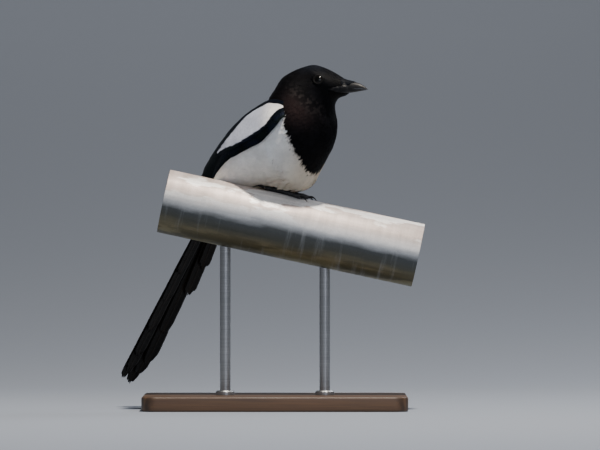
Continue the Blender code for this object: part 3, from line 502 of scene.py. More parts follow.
def pipe_material():
    """Hot-dip galvanised steel, long weathered: lime on top, bare blue-grey zinc below, grime beneath, with
    painted light on its top and painted shade below.
    """
    made, tree, shader = new_material("weathered_galvanised_steel", Metallic=0.35)
    place = put(tree, "TexCoord").outputs["Object"]
    # Straight along the pipe, with its middle at nought: x runs along it, z up through it
    pipe = put(
        tree,
        "Mapping",
        {"Vector": place, "Location": tuple(PIPE_MIDDLE * MM), "Rotation": (0, PIPE_SLOPE, 0)},
        vector_type="TEXTURE",
    ).outputs[0]
    split = put(tree, "SeparateXYZ", {"Vector": pipe})
    height = put(
        tree,
        "MapRange",
        {"Value": split.outputs["Z"], "From Min": -PIPE_RADIUS * MM, "From Max": PIPE_RADIUS * MM},
    ).outputs[0]
    # Lime stains about 80 mm by 15 mm, faint lines along the pipe, drips 5 to 9 mm wide, 4 mm zinc crystals
    drawn = put(tree, "Mapping", {"Vector": pipe, "Scale": (14, 45, 45)}).outputs[0]
    patches = put(tree, "TexNoise", {"Vector": drawn, "Scale": 1, "Detail": 6, "Roughness": 0.6}).outputs[0]
    rolled = put(tree, "Mapping", {"Vector": pipe, "Scale": (5, 190, 190)}).outputs[0]
    lines = put(tree, "TexNoise", {"Vector": rolled, "Scale": 1.0, "Detail": 4.0}).outputs["Fac"]
    around = put(tree, "Mapping", {"Vector": pipe, "Scale": (110, 9, 9)}).outputs[0]
    drips = put(tree, "TexNoise", {"Vector": around, "Scale": 1, "Detail": 6, "Roughness": 0.65}).outputs[0]
    crystals = put(tree, "TexVoronoi", {"Vector": pipe, "Scale": 260.0, "Randomness": 1.0}).outputs["Color"]
    spangle = put(tree, "SeparateXYZ", {"Vector": crystals}).outputs["X"]
    speck = put(tree, "TexNoise", {"Vector": pipe, "Scale": 800.0, "Detail": 4.0}).outputs["Fac"]

    # Pale on top and dark below by height: partly the zinc's weathering, partly painted light on top and
    # painted shade beneath
    wander = put(tree, "Math", {0: patches, 1: 0.26, 2: height}, operation="MULTIPLY_ADD").outputs[0]
    stops = (
        (0.13, "#6c6646"),
        (0.25, "#736a4e"),
        (0.39, "#474840"),
        (0.53, "#45494a"),
        (0.64, "#9da1a5"),
        (0.75, "#dad9d7"),
        (0.98, "#f2f0ec"),
    )
    zinc = put(tree, "ValToRGB", {"Fac": wander}, stops=stops).outputs[0]
    lime = put(tree, "ValToRGB", {"Fac": drips}, stops=((0.35, "#cdbfb7"), (0.65, "#b2a299"))).outputs[0]
    above = put(tree, "MapRange", {"Value": height, "From Min": 0.56, "From Max": 0.74}).outputs[0]
    stained = put(
        tree, "MapRange", {"Value": patches, "From Min": 0.46, "From Max": 0.5, "To Max": 0.9}
    ).outputs[0]
    amount = put(tree, "Math", {0: above, 1: stained}, operation="MULTIPLY").outputs[0]
    topped = put(tree, "MixRGB", {"Fac": amount, "Color1": zinc, "Color2": lime}).outputs[0]
    # Olive grime on the underside, which also darkens it as painted shade
    below = put(
        tree, "MapRange", {"Value": height, "From Min": 0.24, "From Max": 0.08, "To Max": 0.8}
    ).outputs[0]
    dirty = put(tree, "MapRange", {"Value": patches, "From Min": 0.43, "From Max": 0.5}).outputs[0]
    grime_and_painted_shade = put(tree, "Math", {0: below, 1: dirty}, operation="MULTIPLY").outputs[0]
    green = put(tree, "MixRGB", {"Fac": grime_and_painted_shade, "Color1": topped, "Color2": colour("#35331f")}).outputs[0]
    # Rain has run down from the top in a few pale marks
    middle = put(tree, "MapRange", {"Value": height, "From Min": 0.9, "From Max": 0.55}).outputs[0]
    marked = put(
        tree, "MapRange", {"Value": drips, "From Min": 0.55, "From Max": 0.72, "To Max": 0.32}
    ).outputs[0]
    run = put(tree, "Math", {0: middle, 1: marked}, operation="MULTIPLY").outputs[0]
    rained = put(tree, "MixRGB", {"Fac": run, "Color1": green, "Color2": colour("#a5a8aa")}).outputs[0]
    streaked = put(tree, "MapRange", {"Value": lines, **NOISE_RANGE, "To Min": 0.88, "To Max": 1.1}).outputs[0]
    mottled = put(tree, "MapRange", {"Value": spangle, "To Min": 0.96, "To Max": 1.04}).outputs[0]
    dusty = put(tree, "MapRange", {"Value": speck, **NOISE_RANGE, "To Min": 0.94, "To Max": 1.06}).outputs[0]
    shade = put(tree, "Math", {0: streaked, 1: mottled}, operation="MULTIPLY").outputs[0]
    shade = put(tree, "Math", {0: shade, 1: dusty}, operation="MULTIPLY").outputs[0]
    final = put(tree, "VectorMath", {0: rained, "Scale": shade}, operation="SCALE").outputs[0]
    tree.links.new(final, shader.inputs["Base Color"])
    rough = put(tree, "MapRange", {"Value": patches, "To Min": 0.34, "To Max": 0.66})
    tree.links.new(rough.outputs[0], shader.inputs["Roughness"])
    bump = put(tree, "Bump", {"Height": speck, "Strength": 0.2, "Distance": 0.0003}).outputs["Normal"]
    wide = put(tree, "Bump", {"Height": patches, "Strength": 0.2, "Distance": 0.001, "Normal": bump})
    tree.links.new(wide.outputs["Normal"], shader.inputs["Normal"])
    return made


def board_material():
    """Oiled dark oak: straight pores and growth rings along the board, with a satin finish."""
    made, tree, shader = new_material("oiled_dark_oak", Coat_Weight=0.1, Coat_Roughness=0.35)
    place = put(tree, "TexCoord").outputs["Object"]
    bent = put(tree, "TexNoise", {"Vector": place, "Scale": 9.0, "Detail": 2.0}).outputs["Fac"]
    # Pores 1.5 mm and rings 6 mm apart, both drawn out along the board
    drawn = put(tree, "Mapping", {"Vector": place, "Scale": (9, 330, 330)}).outputs[0]
    pores = put(tree, "TexNoise", {"Vector": drawn, "Scale": 2.0, "Detail": 5.0}).outputs["Fac"]
    rings = put(
        tree,
        "TexWave",
        {"Vector": drawn, "Scale": 0.16, "Distortion": 5.0, "Detail": 3.0, "Detail Scale": 0.6},
        bands_direction="Y",
    ).outputs["Fac"]
    mixed = put(tree, "MixRGB", {"Fac": 0.6, "Color1": rings, "Color2": pores}).outputs[0]
    stops = ((0.2, "#342519"), (0.5, "#483323"), (0.8, "#5e442d"))
    tint = put(tree, "ValToRGB", {"Fac": mixed}, stops=stops).outputs[0]
    shade = put(tree, "MapRange", {"Value": bent, "To Min": 0.8, "To Max": 1.2}).outputs[0]
    final = put(tree, "VectorMath", {0: tint, "Scale": shade}, operation="SCALE").outputs[0]
    tree.links.new(final, shader.inputs["Base Color"])
    rough = put(tree, "MapRange", {"Value": pores, "To Min": 0.42, "To Max": 0.62})
    tree.links.new(rough.outputs[0], shader.inputs["Roughness"])
    bump = put(tree, "Bump", {"Height": pores, "Strength": 0.3, "Distance": 0.0003}).outputs["Normal"]
    tree.links.new(bump, shader.inputs["Normal"])
    return made


def rod_material():
    """Turned stainless steel: fine tool rings round each rod."""
    made, tree, shader = new_material("turned_stainless_steel", Metallic=1.0)
    place = put(tree, "TexCoord").outputs["Object"]
    drawn = put(tree, "Mapping", {"Vector": place, "Scale": (20, 20, 2600)}).outputs[0]
    rings = put(tree, "TexNoise", {"Vector": drawn, "Scale": 1.0, "Detail": 2.0}).outputs["Fac"]
    tint = put(tree, "ValToRGB", {"Fac": rings}, stops=((0.3, "#96989a"), (0.7, "#b4b5b6"))).outputs[0]
    tree.links.new(tint, shader.inputs["Base Color"])
    rough = put(tree, "MapRange", {"Value": rings, "To Min": 0.24, "To Max": 0.42})
    tree.links.new(rough.outputs[0], shader.inputs["Roughness"])
    bump = put(tree, "Bump", {"Height": rings, "Strength": 0.15, "Distance": 0.0002}).outputs["Normal"]
    tree.links.new(bump, shader.inputs["Normal"])
    return made


def plug_material():
    """Moulded black polyethylene: matt, finely sparked surface with a little dust."""
    made, tree, shader = new_material("moulded_polyethylene", IOR=1.5)
    place = put(tree, "TexCoord").outputs["Object"]
    grain = put(tree, "TexNoise", {"Vector": place, "Scale": 1800.0, "Detail": 2.0}).outputs["Fac"]
    dust = put(tree, "TexNoise", {"Vector": place, "Scale": 60.0, "Detail": 5.0}).outputs["Fac"]
    tint = put(tree, "ValToRGB", {"Fac": dust}, stops=((0.35, "#1d1e1f"), (0.7, "#35342f"))).outputs[0]
    tree.links.new(tint, shader.inputs["Base Color"])
    rough = put(tree, "MapRange", {"Value": dust, "To Min": 0.5, "To Max": 0.75})
    tree.links.new(rough.outputs[0], shader.inputs["Roughness"])
    bump = put(tree, "Bump", {"Height": grain, "Strength": 0.3, "Distance": 0.0002}).outputs["Normal"]
    tree.links.new(bump, shader.inputs["Normal"])
    return made


HORN = horn_material()
SCUTES = leg_material()
WET_EYE = eye_material()
LID_SKIN = lid_material()
GALVANISED = pipe_material()
OAK = board_material()
TURNED_STEEL = rod_material()
PLASTIC = plug_material()


# Meshes


def make_piece(
    name, points, faces, material, nodes=(), uv=None, paint=None, barbs=None, values=None, normals=None
):
    """A mesh from points in metres, with its bake map and the values at its points that materials read."""
    mesh = bpy.data.meshes.new(name)
    if isinstance(faces, np.ndarray):
        count, corners = faces.shape
        mesh.vertices.add(len(points))
        mesh.vertices.foreach_set("co", np.ascontiguousarray(points, np.float32).ravel())
        mesh.loops.add(count * corners)
        mesh.loops.foreach_set("vertex_index", faces.astype(np.int32).ravel())
        mesh.polygons.add(count)
        mesh.polygons.foreach_set("loop_start", np.arange(0, count * corners, corners, dtype=np.int32))
        mesh.update(calc_edges=True)
    else:
        mesh.from_pydata([tuple(map(float, p)) for p in points], [], faces)
    if uv is not None:
        layer = mesh.uv_layers.new(name="OFBake")
        index = np.zeros(len(mesh.loops), np.int32)
        mesh.loops.foreach_get("vertex_index", index)
        flat = uv[index] if len(uv) == len(points) else uv
        layer.data.foreach_set("uv", np.ascontiguousarray(flat, np.float32).ravel())
    if paint is not None:
        layer = mesh.color_attributes.new("plumage", "FLOAT_COLOR", "POINT")
        full = np.concatenate([paint, np.ones((len(paint), 1))], axis=1)
        layer.data.foreach_set("color", full.astype(np.float32).ravel())
    if barbs is not None:
        layer = mesh.attributes.new("barbs", "FLOAT_VECTOR", "POINT")
        layer.data.foreach_set("vector", np.ascontiguousarray(barbs, np.float32).ravel())
    for key, value in (values or {}).items():
        layer = mesh.attributes.new(key, "FLOAT", "POINT")
        layer.data.foreach_set("value", np.ascontiguousarray(value, np.float32))
    mesh.materials.append(material)
    mesh.shade_smooth()
    if normals is not None:
        mesh.normals_split_custom_set_from_vertices(normals.tolist())
    obj = bpy.data.objects.new(name, mesh)
    bpy.context.scene.collection.objects.link(obj)
    return ready(obj, nodes)


def ready(obj, nodes=()):
    """Puts a piece on the part's one body and hides the part's nodes that it stands for."""
    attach(obj, "root")
    if nodes:
        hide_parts(*nodes)
    return obj


def sheet_faces(count, rows, columns, start=0):
    """Faces of count grids of rows by columns points each."""
    cell = (np.arange(rows - 1)[:, None] * columns + np.arange(columns - 1)).ravel()
    quads = np.stack([cell, cell + 1, cell + columns + 1, cell + columns], axis=1)
    return (start + np.arange(count)[:, None, None] * rows * columns + quads).reshape(-1, 4)


def ring_faces(rings, sides, first=0, capped=False):
    """Faces between rings of points that follow each other, and over both ends of the row if it is capped."""
    faces = []
    for start in range(first, first + (rings - 1) * sides, sides):
        for j in range(sides):
            k = (j + 1) % sides
            faces.append((start + j, start + k, start + sides + k, start + sides + j))
    if capped:
        last = first + (rings - 1) * sides
        faces += [tuple(range(first, first + sides))[::-1], tuple(range(last, last + sides))]
    return faces


def rim_faces(count, rows, columns):
    """Faces that join the edges of count upper grids to those of as many lower grids that follow them."""
    edge = list(range(columns))
    edge += [r * columns + columns - 1 for r in range(1, rows)]
    edge += [(rows - 1) * columns + c for c in range(columns - 2, -1, -1)]
    edge += [r * columns for r in range(rows - 2, 0, -1)]
    edge = np.array(edge)
    after = np.roll(edge, -1)
    lower = count * rows * columns
    quads = np.stack([edge, lower + edge, lower + after, after], axis=1)
    return (np.arange(count)[:, None, None] * rows * columns + quads).reshape(-1, 4)


def linear(*codes):
    """Linear colours from sRGB hex values, without their opacity."""
    return np.array([colour(c)[:3] for c in codes])


# Colours of the plumage, with its painted sheens and shades
BLACK, BROWN_PAINTED_SHEEN, GREY_DOWN, WHITE, PAINTED_SHADE_WARM_WHITE, PAINTED_SHADE_COOL_WHITE, FLECK, CROWN_PAINTED_SHEEN, BRISTLE_BLACK = linear(
    "#070709", "#2c2120", "#302f30", "#e9e6e2", "#d0c1ad", "#cfd5e6", "#3a3432", "#1f2530", "#0f1218"
)
BLUE_GLOSS, GREEN_GLOSS, VIOLET_GLOSS, BRONZE_GLOSS, UNDER_TAIL, QUILL_BROWN = linear(
    "#101c38", "#0c201f", "#171228", "#131e10", "#130f0c", "#2a2018"
)


def whiteness(sections, angles):
    """The body's markings: 1 where it is white, 0 where it is black, by section and angle round it."""
    turn = turn_of(angles)
    bib = np.interp(turn, BIB_ANGLE, BIB_SECTION)
    mantle = along_table(MANTLE_ANGLE, sections)
    return (sections < bib) & (turn > mantle) & (sections > VENT_SECTION)


def body_colours(sections, angles, luck):
    """The colour of the coat and of the skin at each place of the body."""
    white = whiteness(sections, angles)[..., None]
    turn = turn_of(angles)
    # Painted shade: the white grows warmer and darker towards the belly's underside
    underside_shade = smoothstep((turn - 95) / 65)[..., None]
    pale = WHITE + (PAINTED_SHADE_WARM_WHITE - WHITE) * underside_shade
    # Painted sheen: a brownish sheen on the black of the breast
    sheen = np.exp(-(((sections - 10.9) / 1.0) ** 2) - ((turn - 100) / 26) ** 2)[..., None]
    flecks = np.exp(-(((sections - 12.2) / 0.7) ** 2) - ((turn - 105) / 34) ** 2) * (luck > 0.55)
    # Painted sheen: a faint blue-grey sheen on the crown
    crown = smoothstep((sections - 13.5) / 2.5) * smoothstep((18.2 - sections) / 2)
    crown = (crown * smoothstep((75 - turn) / 45))[..., None]
    dark = BLACK * (0.7 + 0.8 * luck[..., None])
    dark = dark + (BROWN_PAINTED_SHEEN - dark) * sheen * 0.65
    dark = dark + (FLECK - dark) * flecks[..., None] * 0.4
    dark = dark + (CROWN_PAINTED_SHEEN - dark) * crown * 0.25
    rump = smoothstep(1 - np.abs(sections - np.mean(RUMP_PATCH)) / 0.9) * smoothstep((40 - turn) / 15)
    dark = dark + (GREY_DOWN - dark) * rump[..., None] * 0.7
    return np.where(white, pale * (0.95 + 0.07 * luck[..., None]), dark)


# Body

# How far the skin stays above the pipe, and how much darker than the coat it is, as painted shade deep under
# the coat
SKIN_CLEAR, SKIN_SHADE = 0.4, 0.85


def build_skin():
    """One skin under the whole coat, from the tail's root to the bill, with the coat's own markings."""
    rows, sides = 161, 120
    sections, angles = body_grid(rows, sides)
    _, _, out = trunk_slopes(sections, angles)
    points = trunk(sections, angles) - out * along_table(COAT_DEPTH, sections)[..., None]
    points = clear_of_pipe(to_part(points.reshape(-1, 3)), SKIN_CLEAR)
    paint = body_colours(sections.ravel(), angles.ravel(), np.full(rows * sides, 0.5)) * SKIN_SHADE
    corners = ((0, 0), (1, 0), (1, 1), (0, 1))
    uv = [(j + s, i + t) for i in range(rows - 1) for j in range(sides) for s, t in corners]
    uv += [(j, 0) for j in reversed(range(sides))] + [(j, rows - 1) for j in range(sides)]
    flesh = ("torso", "neck", "head", "thigh_right", "thigh_left")
    make_piece(
        "skin", points, ring_faces(rows, sides, capped=True), BLACK_BODY, flesh,
        np.array(uv, float) / (sides, rows - 1), paint, np.zeros(points.shape),
    )


def scatter(seed, tries, spacing):
    """Places on the body, as even as feather roots: sections and angles no nearer than spacing allows."""
    random = np.random.default_rng(seed)
    sections = random.uniform(0, LAST_SECTION, tries)
    angles = random.uniform(-math.pi, math.pi, tries)
    along, around, _ = trunk_slopes(sections, angles)
    area = np.linalg.norm(np.cross(along, around), axis=1)
    room = along_table(spacing, sections)
    weight = area / room**2
    keep = random.uniform(0, 1, tries) < weight / weight.max()
    sections, angles, room = sections[keep], angles[keep], room[keep]
    places = trunk(sections, angles)
    tree = KDTree(len(places))
    for i, place in enumerate(places):
        tree.insert(place, i)
    tree.balance()
    state = np.ones(len(places), bool)
    for i in range(len(places)):
        if state[i]:
            for _, j, _ in tree.find_range(places[i], room[i]):
                if j > i:
                    state[j] = False
    return sections[state], angles[state]


# By section: how far apart the roots stand, how long and wide the feathers are, how far their tips stand up,
# and the radius that they curve by
ROOT_SPACING = (
    (0, 3.1), (5, 3.0), (8, 2.5), (10, 2.1), (12, 1.7), (14, 1.35), (16, 1.1), (18, 0.95), (20, 0.85),
)
FEATHER_LENGTH = ((0, 19), (5, 19), (8, 15), (10, 12.5), (12, 9.5), (14, 7), (16, 5.2), (18, 4), (20, 3.2))
FEATHER_WIDTH = ((0, 8), (5, 8), (8, 6.6), (10, 5.4), (12, 4.4), (14, 3.3), (16, 2.6), (18, 2.1), (20, 1.8))
TIP_RISE = ((0, 0.8), (5, 0.9), (8, 0.8), (10, 0.7), (12, 0.6), (14, 0.45), (16, 0.35), (18, 0.3), (20, 0.25))
CURVE_RADIUS = ((0, 38), (8, 36), (12, 22), (16, 14), (20, 8))
VANE_OUTLINE = ((0, 0.3), (0.2, 0.72), (0.45, 1.0), (0.75, 0.97), (1, 0.66))
COAT_ROWS, COAT_COLUMNS = 5, 11
COAT_TRIES, COAT_END, COAT_CLEAR = 120000, 19.9, 0.3
PIECE_LIMIT = 190000
# How far a vane's tip is frayed, at random and from barb to barb, and how far its edges hang back, as shares
# of its length
FRAY, BARB_FRAY, SWEPT = 0.03, 0.025, 0.12
# How far the loose feathers at the belly's front hang down, and where
BELLY_FLUFF, FLUFF_SECTION = 4.2, 7.0
# How soft the coat looks: the share of the body's own roundness in the way its vanes catch the light
SOFTNESS = 0.75
WING_SOFTNESS = {"scapular": 0.75, "dark": 0.3}
# How deep the coat lies under a wing, and from how far it is looked for
TUCKED_UNDER_WING, COVER_REACH = 0.5, 12
# How large each tuft's patch of the bake map is
PATCH = 0.003


def patch_uv(u, v, shape_u, shape_v):
    """Each tuft's own small patch of the bake map, at its root's place on the unwrapped body."""
    across = PATCH / 2 + u[:, None, None] * (1 - PATCH) + shape_u * PATCH / 2
    along = PATCH / 2 + v[:, None, None] * (1 - PATCH) + (shape_v - 0.5) * PATCH
    return np.stack(np.broadcast_arrays(across, along), axis=-1).reshape(-1, 2)


def along_surface(move, along, around):
    """How far sections and angles change over a small move along the surface."""
    a, b, d = (np.sum(p * q, -1) for p, q in ((along, along), (along, around), (around, around)))
    p, q = np.sum(move * along, -1), np.sum(move * around, -1)
    span = a * d - b * b
    return (p * d - q * b) / span, (q * a - p * b) / span


def tucked(points, outs, chosen):
    """Coat points moved down where a folded wing lies over them."""
    tree, front = WING_COVER
    flat, ways = points.reshape(-1, 3), outs.reshape(-1, 3)
    for i in np.flatnonzero(chosen.ravel()):
        place, out = flat[i], ways[i]
        mirror = (1, -1 if place[1] > 0 else 1, 1)
        start = Vector((place + out * COVER_REACH) * mirror)
        hit, _, face, reach = tree.ray_cast(start, Vector(-out * mirror), 2 * COVER_REACH)
        if hit and front[face] < 0.3 and reach > COVER_REACH - TUCKED_UNDER_WING:
            flat[i] = place - out * (reach - COVER_REACH + TUCKED_UNDER_WING)


def to_part_way(ways):
    """Directions of the bird's frame as directions of the part's."""
    origin = to_part(np.zeros(3))
    return (to_part(ways) - origin) / MM


def softened(points, outs, softness):
    """The way each vane's points face, drawn towards the body's roundness, as loose barbs scatter light."""
    across = np.gradient(points, axis=2)
    down = np.gradient(points, axis=1)
    face = unit(np.cross(across, down))
    face = np.where(np.sum(face * outs, axis=-1, keepdims=True) < 0, -face, face)
    return unit(face * (1 - softness) + outs * softness)


def build_coat():
    """The body's feathers, laid from the bill back to the tail, each a cupped vane with a frayed tip."""
    random = np.random.default_rng(7)
    sections, angles = scatter(3, COAT_TRIES, ROOT_SPACING)
    places = trunk(sections, angles)
    clear = np.min([np.linalg.norm(places - eye_spot(m)[0], axis=1) for m in SIDES.values()], axis=0)
    keep = (clear > LID_RADIUS + 0.2) & (sections < COAT_END)
    sections, angles, places = sections[keep], angles[keep], places[keep]
    count = len(sections)
    luck = random.uniform(0, 1, count)
    length = along_table(FEATHER_LENGTH, sections) * random.uniform(0.88, 1.12, count)
    width = along_table(FEATHER_WIDTH, sections) * random.uniform(0.9, 1.1, count)
    rise = along_table(TIP_RISE, sections)
    # Neighbours stand up together, in soft waves some 15 mm long, and each a little on its own
    wave = np.sin(places @ (0.31, 0.13, 0.24)) + np.sin(places @ (-0.12, 0.33, 0.2) + 2)
    rise = rise * (1 + 0.16 * wave + random.normal(0, 0.06, count))
    # The belly's lowest feathers hang loosely over the toes
    below = smoothstep((turn_of(angles) - 132) / 30)
    rise = rise + BELLY_FLUFF * np.exp(-(((sections - FLUFF_SECTION) / 0.85) ** 2)) * below
    sway = random.normal(0, 0.09, count) + 0.05 * np.sin(places @ (0.2, 0.4, -0.3))
    ragged = random.uniform(-0.11, 0.11, count)
    bake_u, bake_v = (angles / (2 * math.pi)) % 1, sections / LAST_SECTION

    v = np.linspace(0, 1, COAT_ROWS)
    u = np.linspace(-1, 1, COAT_COLUMNS)
    breadth = along_table(VANE_OUTLINE, v)
    points = np.zeros((count, COAT_ROWS, COAT_COLUMNS, 3))
    outs = np.zeros_like(points)
    tint = np.zeros_like(points)
    fray = random.uniform(-FRAY, FRAY, (count, COAT_COLUMNS))
    fray += np.where(np.arange(COAT_COLUMNS) % 2, BARB_FRAY, -BARB_FRAY)
    at_section, at_angle = sections.copy(), angles.copy()
    for r, share in enumerate(v):
        along, around, out = trunk_slopes(at_section, at_angle)
        lie = unit(-along + unit(around) * (np.linalg.norm(along, axis=1) * sway)[:, None])
        side = unit(np.cross(out, lie))
        depth = along_table(COAT_DEPTH, at_section)
        lift = -0.9 * depth * (1 - smoothstep(share * 2)) + (rise + 0.3) * share - 0.3
        base = trunk(at_section, at_angle) + out * lift[:, None]
        half = width / 2 * breadth[r]
        cup = half**2 / along_table(CURVE_RADIUS, sections) * 0.55
        for c, across in enumerate(u):
            edge = fray[:, c] * share**4 * (1 - 0.8 * abs(across) ** 3) - SWEPT * across**2 * share**2
            aside = side * (half * across)[:, None] + lie * (length * edge)[:, None]
            points[:, r, c] = base + aside - out * (cup * across**2)[:, None]
            outs[:, r, c] = out
            more_section, more_angle = along_surface(aside, along, around)
            tint[:, r, c] = body_colours(at_section + more_section + ragged, at_angle + more_angle, luck)
        if r == COAT_ROWS - 2:
            white = whiteness(at_section + ragged, at_angle)
        if r < COAT_ROWS - 1:
            more_section, more_angle = along_surface(lie * (length / (COAT_ROWS - 1))[:, None], along, around)
            at_section = np.clip(at_section + more_section, 0.0, LAST_SECTION)
            at_angle = at_angle + more_angle
    near_wing = (np.abs(points[..., 1]) > 8) & (points[..., 0] < 30) & (points[..., 2] > -30)
    tucked(points, outs, near_wing)
    normals = to_part_way(softened(points, outs, SOFTNESS))
    points = clear_of_pipe(to_part(points), COAT_CLEAR)
    grid_v = np.broadcast_to(v[None, :, None], points.shape[:3])
    grid_u = np.broadcast_to(u[None, None, :], points.shape[:3])
    # Painted shade: each vane is a little darker towards its root, where it lies under others
    tint *= (0.9 + 0.1 * smoothstep(grid_v * 1.5))[..., None]
    half_width = (width / 2)[:, None, None]
    run = grid_v * length[:, None, None] - np.abs(grid_u) * half_width * 0.9
    own = np.broadcast_to(luck[:, None, None] * 40, run.shape)
    barbs = np.stack([run * 2.2, grid_u * half_width * 2.2, own], axis=-1)
    per_piece = PIECE_LIMIT // (2 * (COAT_ROWS - 1) * (COAT_COLUMNS - 1))
    for shade_name, chosen, material, slot in (
        ("black", ~white, BLACK_BODY, "black_plumage"),
        ("white", white, WHITE_BODY, "white_plumage"),
    ):
        index = np.flatnonzero(chosen)
        for number, start in enumerate(range(0, len(index), per_piece)):
            some = index[start : start + per_piece]
            make_piece(
                f"coat_{shade_name}_{number + 1}",
                points[some].reshape(-1, 3),
                sheet_faces(len(some), COAT_ROWS, COAT_COLUMNS)[:, ::-1],
                material,
                (),
                patch_uv(bake_u[some], bake_v[some], grid_u[some], grid_v[some]),
                tint[some].reshape(-1, 3),
                barbs[some].reshape(-1, 3),
                normals=normals[some].reshape(-1, 3),
            )


def body_tree():
    """The whole trunk as a search tree, which the wing feathers are laid on."""
    rows, sides = 121, 96
    points = trunk(*body_grid(rows, sides)).reshape(-1, 3)
    return BVHTree.FromPolygons([tuple(p) for p in points], ring_faces(rows, sides))


BODY = body_tree()
FACE_REACH = 40
FEATHER_CLEAR = 1.4
# The wing's front end lies under the neck's feathers: from which station forwards, and how deep
FRONT_STATION = 0.45
FRONT_SINK = 1.8


def laid(points, lift, front=None):
    """Points moved out to stand at least lift above the trunk, and sunk in it as far as front says."""
    flat = points.reshape(-1, 3).copy()
    sunk = np.zeros(len(flat)) if front is None else front.ravel()
    for i, place in enumerate(flat):
        spot, normal, _, _ = BODY.find_nearest(Vector(place))
        if (Vector(place) - spot).dot(normal) < lift:
            flat[i] = spot + normal * lift
        if sunk[i] > 0:
            flat[i] += (np.array(spot - normal * FRONT_SINK) - flat[i]) * sunk[i]
    return flat.reshape(points.shape)


def wing_sheet(stations, across):
    """Points of the right wing's sheet and the way it faces, by station and by share from its upper edge."""
    row = through(WING, stations)
    upper, lower, bulge = row[..., :3], row[..., 3:6], row[..., 6]
    inside = np.clip(stations, 0.2, len(WING) - 1.2)
    ahead = through(WING, inside + 0.2)[..., :6] - through(WING, inside - 0.2)[..., :6]
    out = unit(np.cross(ahead[..., :3] + ahead[..., 3:6], lower - upper))
    out = np.where(out[..., 1:2] > 0, -out, out)
    place = upper + (lower - upper) * across[..., None]
    return place + out * (bulge * 4 * across * (1 - across))[..., None], out


def wing_front(stations, across):
    """How far the wing lies under the neck's and mantle's feathers at each place on it, from 0 to 1."""
    ahead = smoothstep((FRONT_STATION - stations) / FRONT_STATION)
    above = smoothstep((2.4 - stations) / 1.2) * smoothstep((0.2 - across) / 0.14)
    return np.maximum(ahead, above)


def wing_cover():
    """The right wing's underside as a search tree, to tuck the coat under, and how far each point is sunk."""
    rows, columns = 81, 25
    stations = np.linspace(0, len(WING) - 1, rows)[:, None] + np.zeros(columns)
    across = np.zeros(rows)[:, None] + np.linspace(-0.02, 1.0, columns)
    place, out = wing_sheet(stations, across)
    points = laid(place, FEATHER_CLEAR) - out * 0.8
    faces = sheet_faces(1, rows, columns).tolist()
    tree = BVHTree.FromPolygons([tuple(p) for p in points.reshape(-1, 3)], faces)
    return tree, wing_front(stations, across)[:-1, :-1].ravel()


WING_COVER = wing_cover()
FLIGHT_OUTLINE = ((0, 0.5), (0.2, 0.85), (0.5, 1.0), (0.8, 0.97), (0.91, 0.8), (0.97, 0.5), (1, 0.16))
SCAPULAR_OUTLINE = ((0, 0.5), (0.2, 0.85), (0.5, 1.0), (0.88, 1.0), (0.96, 0.9), (1, 0.68))
TAIL_OUTLINE = ((0, 0.5), (0.15, 0.8), (0.4, 1.0), (0.94, 1.0), (0.972, 0.93), (0.99, 0.8), (1, 0.58))
# Places across a stiff feather, closer together at its shaft
SHAFTED = (-1, -0.8, -0.55, -0.3, -0.1, -0.04, 0, 0.04, 0.1, 0.3, 0.55, 0.8, 1)
SHAFT_HEIGHT = 0.35
FLIGHT_ROWS, FLIGHT_COLUMNS = 22, 11
# How ragged the tips are, at random and from barb to barb: a wing feather's as shares of its length, a tail
# feather's in mm
WING_FRAY, WING_BARB_FRAY, TAIL_FRAY = 0.014, 0.006, 2.2


def flight_shares(rows):
    """Shares along a feather, closer together towards its rounded tip."""
    return 1 - (1 - np.linspace(0, 1, rows)) ** 1.35


def blades(upper, lower):
    """Points and faces of closed thin blades from their upper and lower faces."""
    count, rows, columns = upper.shape[:3]
    points = np.concatenate([upper.reshape(-1, 3), lower.reshape(-1, 3)])
    top = sheet_faces(count, rows, columns)
    bottom = sheet_faces(count, rows, columns, count * rows * columns)[:, ::-1]
    return points, np.concatenate([top, bottom, rim_faces(count, rows, columns)])


def strip_uv(count, shares, columns):
    """Each blade as a strip of its own on the bake map, its upper face beside its lower."""
    each = 1 / count
    u = np.linspace(0.04, 0.46, columns)[None, None, :] * each + np.arange(count)[:, None, None] * each
    v = (0.01 + 0.98 * shares)[None, :, None]
    upper = np.stack(np.broadcast_arrays(u, v), axis=-1).reshape(-1, 2)
    return np.concatenate([upper, upper + (0.5 * each, 0)])


def wing_colours(kind, stations, across, share, side_share, luck):
    """The colours of wing feathers at each place on the sheet, and how glossy they are there."""
    gloss = BLUE_GLOSS + (GREEN_GLOSS - BLUE_GLOSS) * (0.3 + 0.7 * luck if kind == "remex" else luck)
    outer = smoothstep(0.5 + 0.5 * side_share)[..., None]
    dark = BLACK + (gloss - BLACK) * (0.1 + 0.22 * outer) * (0.6 + 0.4 * share[..., None])
    if kind != "scapular":
        return dark, np.ones(share.shape)
    upper = along_table(PATCH_UPPER, stations)
    lower = along_table(PATCH_LOWER, stations)
    inside = (across > upper) & (across < lower)
    white = (inside & (stations < PATCH_END) & (stations > PATCH_START))[..., None]
    # Painted shade: brightest on the shoulder's front, cooler and a little greyer behind it, and a little
    # darker towards each feather's root
    behind = smoothstep((stations - 0.7) / 1.6)[..., None]
    pale = WHITE + (PAINTED_SHADE_COOL_WHITE - WHITE) * np.maximum(behind, 0.4 * luck)
    pale = pale * (1 - 0.36 * behind) * (0.9 + 0.1 * share[..., None])
    edge = BLACK + (gloss - BLACK) * 0.2
    return np.where(white, pale, edge), np.where(white[..., 0], 0.0, 0.6)


